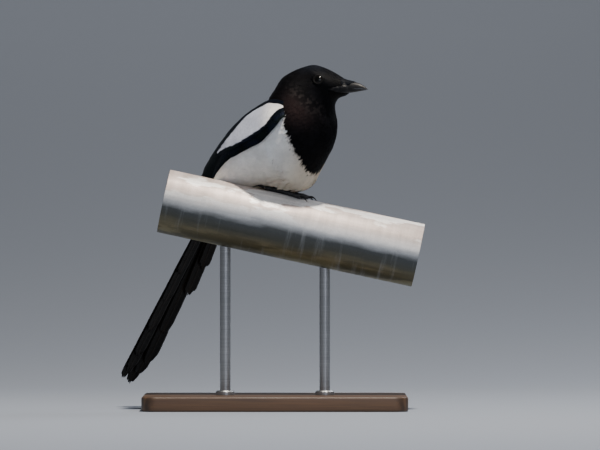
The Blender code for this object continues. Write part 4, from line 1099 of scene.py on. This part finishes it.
def build_wing(side):
    """A folded wing: tiers of vanes, with white scapulars over glossy black coverts and flight feathers."""
    mirror = SIDES[side]
    random = np.random.default_rng({"right": 21, "left": 22}[side])
    shares = flight_shares(FLIGHT_ROWS)
    u = np.linspace(-1, 1, FLIGHT_COLUMNS)
    grid_v = np.broadcast_to(shares[:, None], (FLIGHT_ROWS, FLIGHT_COLUMNS))
    grid_u = np.broadcast_to(u[None, :], grid_v.shape)
    groups = {"scapular": [], "dark": []}
    for count, root_a, tip_a, root_b, tip_b, width, sink, rise, kind in WING_TIERS.values():
        breadth = along_table(SCAPULAR_OUTLINE if kind == "scapular" else FLIGHT_OUTLINE, shares)
        for i in range(count):
            share = i / (count - 1)
            root = [a + (b - a) * share for a, b in zip(root_a, root_b)]
            tip = [a + (b - a) * share for a, b in zip(tip_a, tip_b)]
            tip[0] += random.uniform(-0.12, 0.12)
            tip[1] += random.uniform(-0.012, 0.012)
            luck = random.uniform(0, 1)
            sabre = random.uniform(0.0, 0.02)
            station = root[0] + (tip[0] - root[0]) * shares
            line = root[1] + (tip[1] - root[1]) * shares + sabre * 4 * shares * (1 - shares)
            near, _ = wing_sheet(station, line - 0.05)
            far, _ = wing_sheet(station, line + 0.05)
            half = width / 2 * breadth * 0.1 / np.linalg.norm(far - near, axis=1)
            fray = random.uniform(-1, 1, FLIGHT_COLUMNS) * WING_FRAY
            fray += np.where(np.arange(FLIGHT_COLUMNS) % 2, WING_BARB_FRAY, -WING_BARB_FRAY)
            reach = tip[0] - root[0]
            along = station[:, None] - reach * 0.07 * grid_u**2 * grid_v**2 + reach * fray * grid_v**4
            across = line[:, None] + half[:, None] * grid_u
            place, out = wing_sheet(along, across)
            raised = WING_LIFT + sink + (rise + 0.1 * share - sink) * shares**0.6
            shingle = SHINGLE * (0.4 if kind == "scapular" else 1)
            lift = raised[:, None] + shingle * grid_u * breadth[:, None] - 0.2 * grid_u**2
            # Each feather's own markings are a little off the patch's edge
            marked_along = along + random.normal(0, 0.03)
            marked_across = across + random.normal(0, 0.006)
            paint, gloss = wing_colours(kind, marked_along, marked_across, grid_v, grid_u, luck)
            run = grid_v * 45 - np.abs(grid_u) * width / 2
            barbs = np.stack([run * 2.0, grid_u * width, np.full(run.shape, luck * 50)], axis=-1)
            group = groups["scapular" if kind == "scapular" else "dark"]
            front = wing_front(along, across)
            group.append((place, out, lift * (1 - front), paint, gloss, barbs, front))
    for group, feathers in groups.items():
        place, out, lift, paint, gloss, barbs, front = (np.array(field) for field in zip(*feathers))
        place = laid(place, FEATHER_CLEAR, front)
        middle = place + out * lift[..., None]
        ways = softened(middle, out, WING_SOFTNESS[group])
        half = out * VANE_THICKNESS / 2 * (1 - 0.85 * np.maximum(grid_u**4, grid_v**8))[..., None]
        # The left wing is the right one's mirror image, so its outer and inner faces change places
        outer, inner = [to_part((middle + half * face) * (1, mirror, 1)) for face in (1, -1)][::-mirror]
        normals = [to_part_way(ways * face * (1, mirror, 1)).reshape(-1, 3) for face in (1, -1)][::-mirror]
        points, faces = blades(outer, inner)
        name, slot, nodes = {
            "scapular": ("scapulars_" + side, "white_plumage", ()),
            "dark": ("wing_feathers_" + side, "black_plumage", ("wing_" + side,)),
        }[group]
        make_piece(
            name,
            points,
            faces,
            GLOSSY,
            nodes,
            strip_uv(len(feathers), shares, FLIGHT_COLUMNS),
            np.concatenate([paint.reshape(-1, 3)] * 2),
            np.concatenate([barbs.reshape(-1, 3)] * 2),
            {"gloss": np.concatenate([gloss.ravel()] * 2)},
            np.concatenate(normals),
        )


def build_tail():
    """The long tail: twelve stiff shafted feathers in layers, glossy above and blackish brown beneath."""
    random = np.random.default_rng(31)
    back = np.array([-math.cos(TAIL_SLOPE), 0, -math.sin(TAIL_SLOPE)])
    top = np.array([-math.sin(TAIL_SLOPE), 0, math.cos(TAIL_SLOPE)])
    sideways = np.array([0.0, 1.0, 0.0])
    rows = 80
    shares = flight_shares(rows)
    columns = len(SHAFTED)
    uppers, lowers, paints, underpaints, barbs = [], [], [], [], []
    for side in ("left", "right"):
        mirror = -SIDES[side]
        u = np.array(SHAFTED) * mirror
        shaft = np.exp(-((u / 0.05) ** 2))
        for i, (length, root, tip, width) in enumerate(TAIL_FEATHERS[side]):
            layer = i + TAIL_STAGGER[side][min(i, 1)]
            line = unit(back * length + sideways * mirror * (tip - root))
            tilted = unit(sideways * mirror * math.cos(TAIL_TILT) - top * math.sin(TAIL_TILT))
            out = unit(np.cross(line, tilted)) * -mirror
            offset = mirror * (root + (tip - root) * shares)
            fray = random.uniform(-1, 1, columns) * TAIL_FRAY
            run = (4 + (length - 4) * shares)[:, None] - 4 * u[None, :] ** 2 * shares[:, None] ** 12
            run = run + fray[None, :] * shares[:, None] ** 20
            # Worn barbs: the outline wavers, and here and there a barb's tip is broken off
            wavering = np.convolve(random.normal(0, 0.03, rows + 4), np.ones(5) / 5, "valid")
            broken = np.where(random.uniform(0, 1, rows) < 0.03, 0.07, 0.0) * (shares > 0.4)
            breadth = along_table(TAIL_OUTLINE, shares) * (1 + wavering * shares - broken)
            drop = (layer - 0.5) * TAIL_LAYER + np.abs(offset) * math.tan(TAIL_TILT)
            centre = (
                np.array(TAIL_ROOT)
                + back * run[..., None]
                + sideways * offset[:, None, None]
                - top * drop[:, None, None]
            )
            shape = centre + tilted * (width / 2 * breadth[:, None] * u[None, :])[..., None]
            shape = shape - out * (0.35 * u[None, :] ** 2)[..., None]
            vane = VANE_THICKNESS / 2 * (1 - 0.8 * u**4)
            quill = (vane + SHAFT_HEIGHT * shaft[None, :] * (1 - 0.7 * shares[:, None]))[..., None]
            uppers.append(shape + out * quill)
            lowers.append(shape - out * quill)
            grid_v = np.broadcast_to(shares[:, None], run.shape)[..., None]
            gloss = BRONZE_GLOSS + (VIOLET_GLOSS - BRONZE_GLOSS) * smoothstep((grid_v - 0.7) * 5)
            gloss = gloss + (BLUE_GLOSS - gloss) * smoothstep((grid_v - 0.88) * 10) * 0.6
            paints.append(BLACK + (gloss - BLACK) * 0.8)
            beneath = UNDER_TAIL * random.uniform(0.6, 1.1)
            streak = np.exp(-(((u[None, :] + 0.12) / 0.2) ** 2))
            streak = streak * (0.35 + 0.3 * np.sin(shares * 17 + i))[:, None]
            underpaints.append(beneath + (QUILL_BROWN - beneath) * np.maximum(streak, shaft * 0.7)[..., None])
            slant = run - np.abs(u[None, :]) * width / 2 * 0.8
            own = np.full(run.shape, i * 9.0)
            barbs.append(np.stack([slant * 1.6, u[None, :] * width / 2 * np.ones_like(run), own], -1))
    points, faces = blades(to_part(np.array(uppers)), to_part(np.array(lowers)))
    paint = np.concatenate([np.array(paints).reshape(-1, 3), np.array(underpaints).reshape(-1, 3)])
    barbs = np.array(barbs).reshape(-1, 3)
    make_piece(
        "tail_feathers", points, faces, GLOSSY, ("tail",),
        strip_uv(12, shares, columns), paint, np.concatenate([barbs, barbs]),
        {"gloss": np.repeat((0.8, 0.0), len(barbs))},
    )


def face_side(x, heights):
    """How far out the face's side is at a place along the bill and at heights on it."""
    sideways = turned_way(np.array([0.0, 1.0, 0.0]))
    found = []
    for height in heights:
        start = turned(np.array([x, -FACE_REACH, height]), 1)
        hit, _, _, reach = BODY.ray_cast(Vector(start), Vector(sideways), FACE_REACH)
        found.append(FACE_REACH - reach if hit else 0.0)
    return np.array(found)


def build_bill():
    """The bill's two halves: a rounded ridge, sharp cutting edges back to the gape, and a hooked tip."""
    first = BILL[0].copy()
    first[0] = GAPE_X
    table = np.vstack([first, BILL])
    rows_in_all, sides = 84, 44
    angle = np.linspace(0, math.pi, sides)
    for name, upper in (("bill_horn_upper", True), ("bill_horn_lower", False)):
        rows = through(table, np.linspace(0, len(table) - 1, rows_in_all))
        if not upper:
            rows = rows[rows[:, 0] < LOWER_BILL_END]
        rings = []
        for x, ridge, mouth, low, half_width in rows:
            edge = mouth + MOUTH_GAP / 2 if upper else mouth - MOUTH_GAP / 2
            far = ridge if upper else low
            y = half_width * np.cos(angle)
            z = edge + (far - edge) * np.sin(angle) ** BILL_FULLNESS
            # The bare edge lies on the face's side, and narrows towards the corner of the mouth
            height = GAPE_HEIGHT[upper] * smoothstep((x - GAPE_X) / (FACE_END_X - GAPE_X))
            bare = smoothstep((height - np.abs(z - edge)) / 0.9 + 0.5)
            out = face_side(min(x, FACE_END_X), z) + GAPE_STAND * bare - GAPE_SUNK * (1 - bare)
            wider = np.maximum(out - np.abs(y), 0) * (1 - smoothstep((x - FACE_END_X) / GAPE_FADE))
            y = y + np.sign(y) * wider * (np.abs(np.cos(angle)) > 0.2)
            rings.append(turned(np.stack([np.full(sides, x), y, z], axis=-1), 1))
        points = to_part(np.array(rings)).reshape(-1, 3)
        faces = ring_faces(len(rings), sides, capped=True)
        node = "bill_upper" if upper else "bill_lower"
        outwards(make_piece(name, points, faces, HORN, (node,)))


def outwards(obj):
    """Turns a closed piece's faces outwards and shades it smooth but for its sharp edges."""
    bm = bmesh.new()
    bm.from_mesh(obj.data)
    bmesh.ops.recalc_face_normals(bm, faces=bm.faces)
    bm.to_mesh(obj.data)
    bm.free()
    obj.data.shade_smooth()
    obj.data.set_sharp_from_angle(angle=math.radians(50))


def build_eyes():
    """Two wet eyeballs, each with its pupil and iris where it looks out."""
    for side, mirror in SIDES.items():
        place, _, out = eye_spot(mirror)
        bpy.ops.mesh.primitive_uv_sphere_add(segments=48, ring_count=32, radius=EYE_RADIUS)
        eye = bpy.context.object
        turn = Vector((0, 0, 1)).rotation_difference(Vector(out)).to_matrix()
        ball = [v.co.copy() for v in eye.data.vertices]
        moved = np.array([turn @ spot for spot in ball]) + place - out * EYE_DEPTH
        for vert, spot in zip(eye.data.vertices, to_part(moved)):
            vert.co = spot
        iris = np.arccos(np.clip([spot.z / EYE_RADIUS for spot in ball], -1, 1)) / (math.pi / 2)
        layer = eye.data.attributes.new("iris", "FLOAT", "POINT")
        layer.data.foreach_set("value", iris.astype(np.float32))
        eye.name = "eyeball_" + side
        eye.data.materials.append(WET_EYE)
        eye.data.shade_smooth()
        ready(eye, ("eye_" + side,))


def strands(name, centres, sides, outs, widths, thickness, material, slot, paint):
    """Many thin tapered blades of three points across, one to a row of centres, with their bake patches."""
    count, rows = centres.shape[:2]
    spread = sides * widths[..., None]
    crown = outs * (widths * thickness)[..., None]
    points = np.stack([centres - spread, centres + crown, centres + spread], axis=2)
    uv_u = np.linspace(0.01, 0.98, count)[:, None, None] + np.zeros((count, rows, 3))
    uv_v = np.linspace(0, 1, rows)[None, :, None] * PATCH + 0.5 + np.zeros((count, rows, 3))
    uv = np.stack([uv_u + np.array([-1, 0, 1]) * PATCH / 3, uv_v], axis=-1).reshape(-1, 2)
    barbs = np.stack([np.broadcast_to(np.linspace(0, 9, rows)[None, :, None], (count, rows, 3))] * 3, axis=-1)
    make_piece(
        name, to_part(points).reshape(-1, 3), sheet_faces(count, rows, 3)[:, ::-1], material, (), uv,
        np.repeat(paint, rows * 3, axis=0), barbs.reshape(-1, 3),
    )


def bill_surface(x, angle):
    """Points of the upper bill, by place along it and angle from its right edge, and the way they face."""
    column = np.interp(x, BILL[:, 0], np.arange(len(BILL)))
    row = through(BILL, column)
    ridge, mouth, breadth = row[..., 1], row[..., 2], row[..., 4]
    lift = np.abs(np.sin(angle)) ** BILL_FULLNESS
    place = np.stack([x, -breadth * np.cos(angle), mouth + (ridge - mouth) * lift], axis=-1)
    out = np.stack([np.zeros_like(x), -np.cos(angle) * (ridge - mouth), np.sin(angle) * breadth], axis=-1)
    return place, unit(out)


def build_bristles():
    """Stiff bristles that lie forwards from the face over the bill's base and hide the nostrils."""
    random = np.random.default_rng(51)
    count, rows = 900, 9
    share = np.linspace(0, 1, rows)[None, :]
    angle = np.radians(random.uniform(-80, 80, count))[:, None]
    section = random.uniform(17.8, 19.9, count)[:, None]
    root = trunk(section + 0 * share, angle + 0 * share)
    _, _, root_out = trunk_slopes(section + 0 * share, angle + 0 * share)
    bill_angle = math.pi / 2 - angle * 0.8 + random.normal(0, 0.06, count)[:, None] * share
    reach = BRISTLE_END - 4 * np.abs(np.sin(angle)) ** 3 + random.uniform(-4, 1, count)[:, None]
    start = np.interp(section, np.arange(len(TRUNK)), TRUNK[:, 0])
    x = start + (reach - start) * share
    place, out = bill_surface(x, bill_angle)
    place, out = turned(place, 1), turned_way(out)
    meet = smoothstep(share * 1.5)[..., None]
    lift = 0.15 + random.uniform(0.1, 0.7, count)[:, None] * np.sin(math.pi * np.minimum(share * 0.85, 1))
    out = unit(root_out * (1 - meet) + out * meet)
    place = (root - root_out * 0.3) * (1 - meet) + place * meet + out * lift[..., None]
    side = unit(np.cross(out, turned_way(np.array([1.0, 0, 0]))))
    width = 0.4 * (1 - 0.85 * share**1.5) * random.uniform(0.7, 1.2, count)[:, None]
    paint = BRISTLE_BLACK * random.uniform(0.5, 1.5, count)[:, None]
    strands("nasal_bristles", place, side, out, width, 0.6, BLACK_BODY, "black_plumage", paint)


def turned_way(vectors):
    """Directions turned with the head."""
    pivot = np.array([YAW_PIVOT_X, 0, 0])
    return turned(vectors + pivot, 1) - pivot


def build_lids():
    """Bare black lids round each eye: a ring of three soft folds, drawn out a little towards the bill."""
    around = np.linspace(0, 2 * math.pi, LID_SIDES, endpoint=False)
    for side, mirror in SIDES.items():
        spot, along, out = eye_spot(mirror)
        ahead = unit(along)
        over = unit(np.cross(out, ahead))
        ring = np.cos(around)[:, None] * ahead * 1.04 + np.sin(around)[:, None] * over * 0.93
        rings = []
        for reach, height in LID_FOLDS:
            radius = LID_RADIUS - 0.35 + reach + 0.35 * np.maximum(np.cos(around), 0) ** 6
            wobble = 0.05 * np.sin(around * 23 + reach * 5)
            rings.append(spot + ring * (radius + wobble)[:, None] + out * (height + 0.15))
        points = to_part(np.array(rings)).reshape(-1, 3)
        faces = ring_faces(len(LID_FOLDS), LID_SIDES)
        outwards(make_piece("eyelids_" + side, points, faces, LID_SKIN))


def toe_track(foot, spread, mirror, reach, lift):
    """Points over the pipe along a toe's line from its root, each lifted off the pipe."""
    along, angle, turn = foot
    heading = spread * mirror
    aim = math.radians(heading if abs(heading) > 90 else turn + heading)
    around = math.radians(angle) - reach * math.sin(aim) / PIPE_RADIUS
    return on_pipe(along + reach * math.cos(aim), around, lift)


def build_feet():
    """Both feet, bent round the pipe: jointed toes and a ringed shank, and their claws."""
    for side, mirror in SIDES.items():
        foot = FEET[side]
        tubes, claws = [], []
        for spread, length, claw_length in TOES.values():
            reach = np.linspace(0, length, 64)
            radii = TOE_RADIUS * np.interp(reach / length, np.linspace(0, 1, len(TOE_JOINTS)), TOE_JOINTS)
            tubes.append((toe_track(foot, spread, mirror, reach, radii + TOE_LIFT), radii))
            share = np.linspace(0, 1, 24)
            reach = length + CLAW_GAP + claw_length * share
            radii = CLAW_ROOT * (1 - share) + CLAW_POINT * share
            arch = CLAW_RISE * np.sin(math.pi * np.minimum(share * 1.15, 1)) + 0.5 * (1 - share)
            claws.append((toe_track(foot, spread, mirror, reach, radii + 0.45 + arch), radii))
        along, angle, _ = foot
        root = on_pipe(np.array(float(along)), np.array(math.radians(angle)), TOE_RADIUS * 1.35 + 0.3)
        to_ankle = -ANKLE_BACK * PIPE_AXIS + np.array([0, mirror * 2, 0]) + ANKLE_UP * PIPE_UP
        steps = np.linspace(0, 1, 50)[:, None]
        tubes.append((root + to_ankle * MM * steps, np.full(50, TARSUS_RADIUS)))
        tube_piece("leg_" + side, tubes, SCUTES, ("foot_" + side,), 14, 0.12)
        tube_piece("claws_" + side, claws, HORN, [f"claw_{side}_{toe}" for toe in TOES], 12, 0)


def tube_piece(name, tubes, material, nodes, sides, ridge):
    """Bars along paths, joined in one mesh, with raised rings where ridge is set."""
    points, faces, crease = [], [], []
    angle = np.arange(sides) * 2 * math.pi / sides
    for centres, radii in tubes:
        direction = unit(np.gradient(centres, axis=0))
        side = unit(np.cross(direction, np.array([0, 0, 1.0])))
        over = np.cross(side, direction)
        # Each scute stands up at its front edge and slopes down over four rings
        saw = np.array(SCUTE)[np.arange(len(centres)) % len(SCUTE)]
        rings = (radii * (1 + ridge * (saw - 0.6)))[:, None, None] * MM
        around = np.cos(angle)[:, None] * over[:, None, :] + np.sin(angle)[:, None] * side[:, None, :]
        faces += ring_faces(len(centres), sides, sum(len(p) for p in points), capped=True)
        points.append((centres[:, None, :] + rings * around).reshape(-1, 3))
        crease.append(np.repeat(1 - saw, sides))
    values = {"crease": np.concatenate(crease)}
    outwards(make_piece(name, np.concatenate(points), faces, material, nodes, values=values))


# Perch and stand


def primitive(name, material, nodes):
    """Names the primitive just added, bakes its place into its mesh and sets its finish."""
    obj = bpy.context.object
    obj.name = name
    bpy.ops.object.transform_apply(location=True, rotation=True, scale=True)
    obj.data.materials.append(material)
    return ready(obj, nodes)


def along_pipe(reach):
    """Where a primitive goes and how it turns, to lie along the pipe at mm from its middle."""
    spot = (PIPE_MIDDLE + PIPE_AXIS * reach) * MM
    return {"location": tuple(spot), "rotation": (0, math.radians(90) + PIPE_SLOPE, 0)}


def round_edges(obj, width, segments):
    """Rounds a piece's sharp edges by a width in mm and shades it smooth between them."""
    rounding = obj.modifiers.new("rounding", "BEVEL")
    rounding.width = width * MM
    rounding.segments = segments
    bpy.ops.object.modifier_apply(modifier="rounding")
    bpy.ops.object.shade_smooth_by_angle(angle=SMOOTH_ANGLE)


def edit_chosen(obj, kind, test):
    """Opens a piece for editing with only those of its faces or edges selected that pass a test."""
    bpy.ops.object.mode_set(mode="EDIT")
    bpy.ops.mesh.select_all(action="DESELECT")
    bpy.ops.object.mode_set(mode="OBJECT")
    for element in getattr(obj.data, {"FACE": "polygons", "EDGE": "edges"}[kind]):
        element.select = test(element)
    bpy.ops.object.mode_set(mode="EDIT")
    bpy.ops.mesh.select_mode(type=kind)


def build_pipe():
    """The sawn length of pipe and the plastic plugs in its ends, each with a raised rim and a sunk middle."""
    bpy.ops.mesh.primitive_cylinder_add(
        vertices=160,
        radius=PIPE_RADIUS * MM,
        depth=PIPE_LENGTH * MM,
        end_fill_type="NOTHING",
        **along_pipe(0),
    )
    pipe = primitive("galvanised_pipe", GALVANISED, ("perch_pipe",))
    wall = pipe.modifiers.new("wall", "SOLIDIFY")
    wall.thickness = PIPE_WALL * MM
    wall.offset = -1
    bpy.ops.object.modifier_apply(modifier="wall")
    round_edges(pipe, PIPE_CHAMFER, 2)
    size = {"radius": (PIPE_RADIUS - PIPE_WALL - PLUG_GAP) * MM, "depth": PLUG_DEPTH * MM}
    for side, sign in (("left", -1), ("right", 1)):
        reach = sign * (PIPE_LENGTH - PLUG_DEPTH) / 2
        bpy.ops.mesh.primitive_cylinder_add(vertices=96, **size, **along_pipe(reach))
        plug = primitive("end_plug_" + side, PLASTIC, ("perch_plug_" + side,))
        way = Vector(PIPE_AXIS) * sign
        edit_chosen(plug, "FACE", lambda face: len(face.vertices) > 4 and face.normal.dot(way) > 0.9)
        bpy.ops.mesh.inset(thickness=2.5 * MM)
        bpy.ops.mesh.inset(thickness=1.2 * MM, depth=-1.2 * MM)
        bpy.ops.object.mode_set(mode="OBJECT")
        round_edges(plug, 0.5, 2)


def build_stand():
    """The oak board, with round corners and eased edges."""
    length, depth, height = (s * MM for s in BASE_SIZE)
    bpy.ops.mesh.primitive_cube_add(size=1, location=(0, 0, height / 2), scale=(length, depth, height))
    base = primitive("stand_board", OAK, ("stand_base",))

    def upright(edge):
        """Whether an edge stands at a corner of the board."""
        low, high = (base.data.vertices[i].co.z for i in edge.vertices)
        return abs(low - high) > height / 2

    edit_chosen(base, "EDGE", upright)
    bpy.ops.mesh.bevel(offset=BASE_CORNER_RADIUS * MM, segments=10)
    bpy.ops.object.mode_set(mode="OBJECT")
    round_edges(base, BASE_EDGE_RADIUS, 4)


def dress_rods():
    """The part's own rods and collars, in turned steel."""
    for side in SIDES:
        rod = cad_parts["stand_rod_" + side]
        rod.data.materials.clear()
        rod.data.materials.append(TURNED_STEEL)


# Stage

# The paper sweep, in metres: how far it runs to the sides and forwards, and where and how it curves up behind
SWEEP_REACH, SWEEP_START, SWEEP_DEPTH, SWEEP_HEIGHT = 4.0, 0.7, 1.8, 0.56
AIM = (0, 0, 0.22)


def build_stage():
    """A pale paper sweep, lit from high up, with a soft fill from the front and a rim light from behind."""
    bpy.ops.mesh.primitive_plane_add(size=1, location=(0, 0, 0))
    floor = bpy.context.object
    floor.name = "studio_sweep"
    # Flat as far as the curve's start behind the board, then up to a low far edge
    start, depth, height = SWEEP_START, SWEEP_DEPTH, SWEEP_HEIGHT
    bend = np.linspace(0.05, math.pi / 2, 24)
    outline = [(-SWEEP_REACH, 0.0), (start, 0.0)]
    outline += [(start + depth * math.sin(a), height - height * math.cos(a)) for a in bend]
    points = [(x, y, z) for y, z in outline for x in (-SWEEP_REACH, SWEEP_REACH)]
    faces = [(2 * i, 2 * i + 1, 2 * i + 3, 2 * i + 2) for i in range(len(outline) - 1)]
    floor.data.clear_geometry()
    floor.data.from_pydata(points, [], faces)
    floor.data.shade_smooth()
    paper, _, shader = new_material("pale_paper", Roughness=0.95)
    shader.inputs["Base Color"].default_value = colour("#868d98")
    floor.data.materials.append(paper)

    world = bpy.data.worlds.new("studio")
    bpy.context.scene.world = world
    world.use_nodes = True
    sky = world.node_tree.nodes["Background"]
    sky.inputs["Color"].default_value = colour("#b0b4bc")
    sky.inputs["Strength"].default_value = 0.36

    for name, place, size, power, tint in (
        ("key", (0.25, -0.5, 2.0), 0.14, 70, "#fff6ea"),
        ("fill", (0.5, -2.4, 1.2), 1.8, 20, "#eaf0ff"),
        ("rim", (1.1, 0.9, 1.2), 0.7, 9, "#f4f7ff"),
    ):
        data = bpy.data.lights.new(name, "AREA")
        data.shape = "DISK"
        data.size = size
        data.energy = power
        data.color = colour(tint)[:3]
        light = bpy.data.objects.new(name, data)
        light.location = place
        way = Vector(AIM) - Vector(place)
        light.rotation_euler = way.to_track_quat("-Z", "Y").to_euler()
        bpy.context.scene.collection.objects.link(light)


# The photograph's view: a pixel's size at the perch, and where the camera is
PIXEL = 0.945
CAMERA_X, CAMERA_Z, CAMERA_REACH = 23.6, 174.7, 6000
IMAGE_WIDTH = 600
SENSOR = 36


def build_camera():
    """A long lens, level with the pipe, as the photograph was taken from far off."""
    data = bpy.data.cameras.new("camera")
    data.sensor_width = SENSOR
    data.lens = SENSOR * CAMERA_REACH / (IMAGE_WIDTH * PIXEL)
    data.clip_end = 100
    camera = bpy.data.objects.new("camera", data)
    camera.location = (CAMERA_X * MM, (PERCH_Y - CAMERA_REACH) * MM, CAMERA_Z * MM)
    camera.rotation_euler = (math.radians(90), 0, 0)
    bpy.context.scene.collection.objects.link(camera)
    bpy.context.scene.camera = camera


build_skin()
build_coat()
build_bristles()
build_lids()
for wing_side in SIDES:
    build_wing(wing_side)
build_tail()
build_bill()
build_eyes()
build_feet()
build_pipe()
build_stand()
dress_rods()
build_stage()
build_camera()
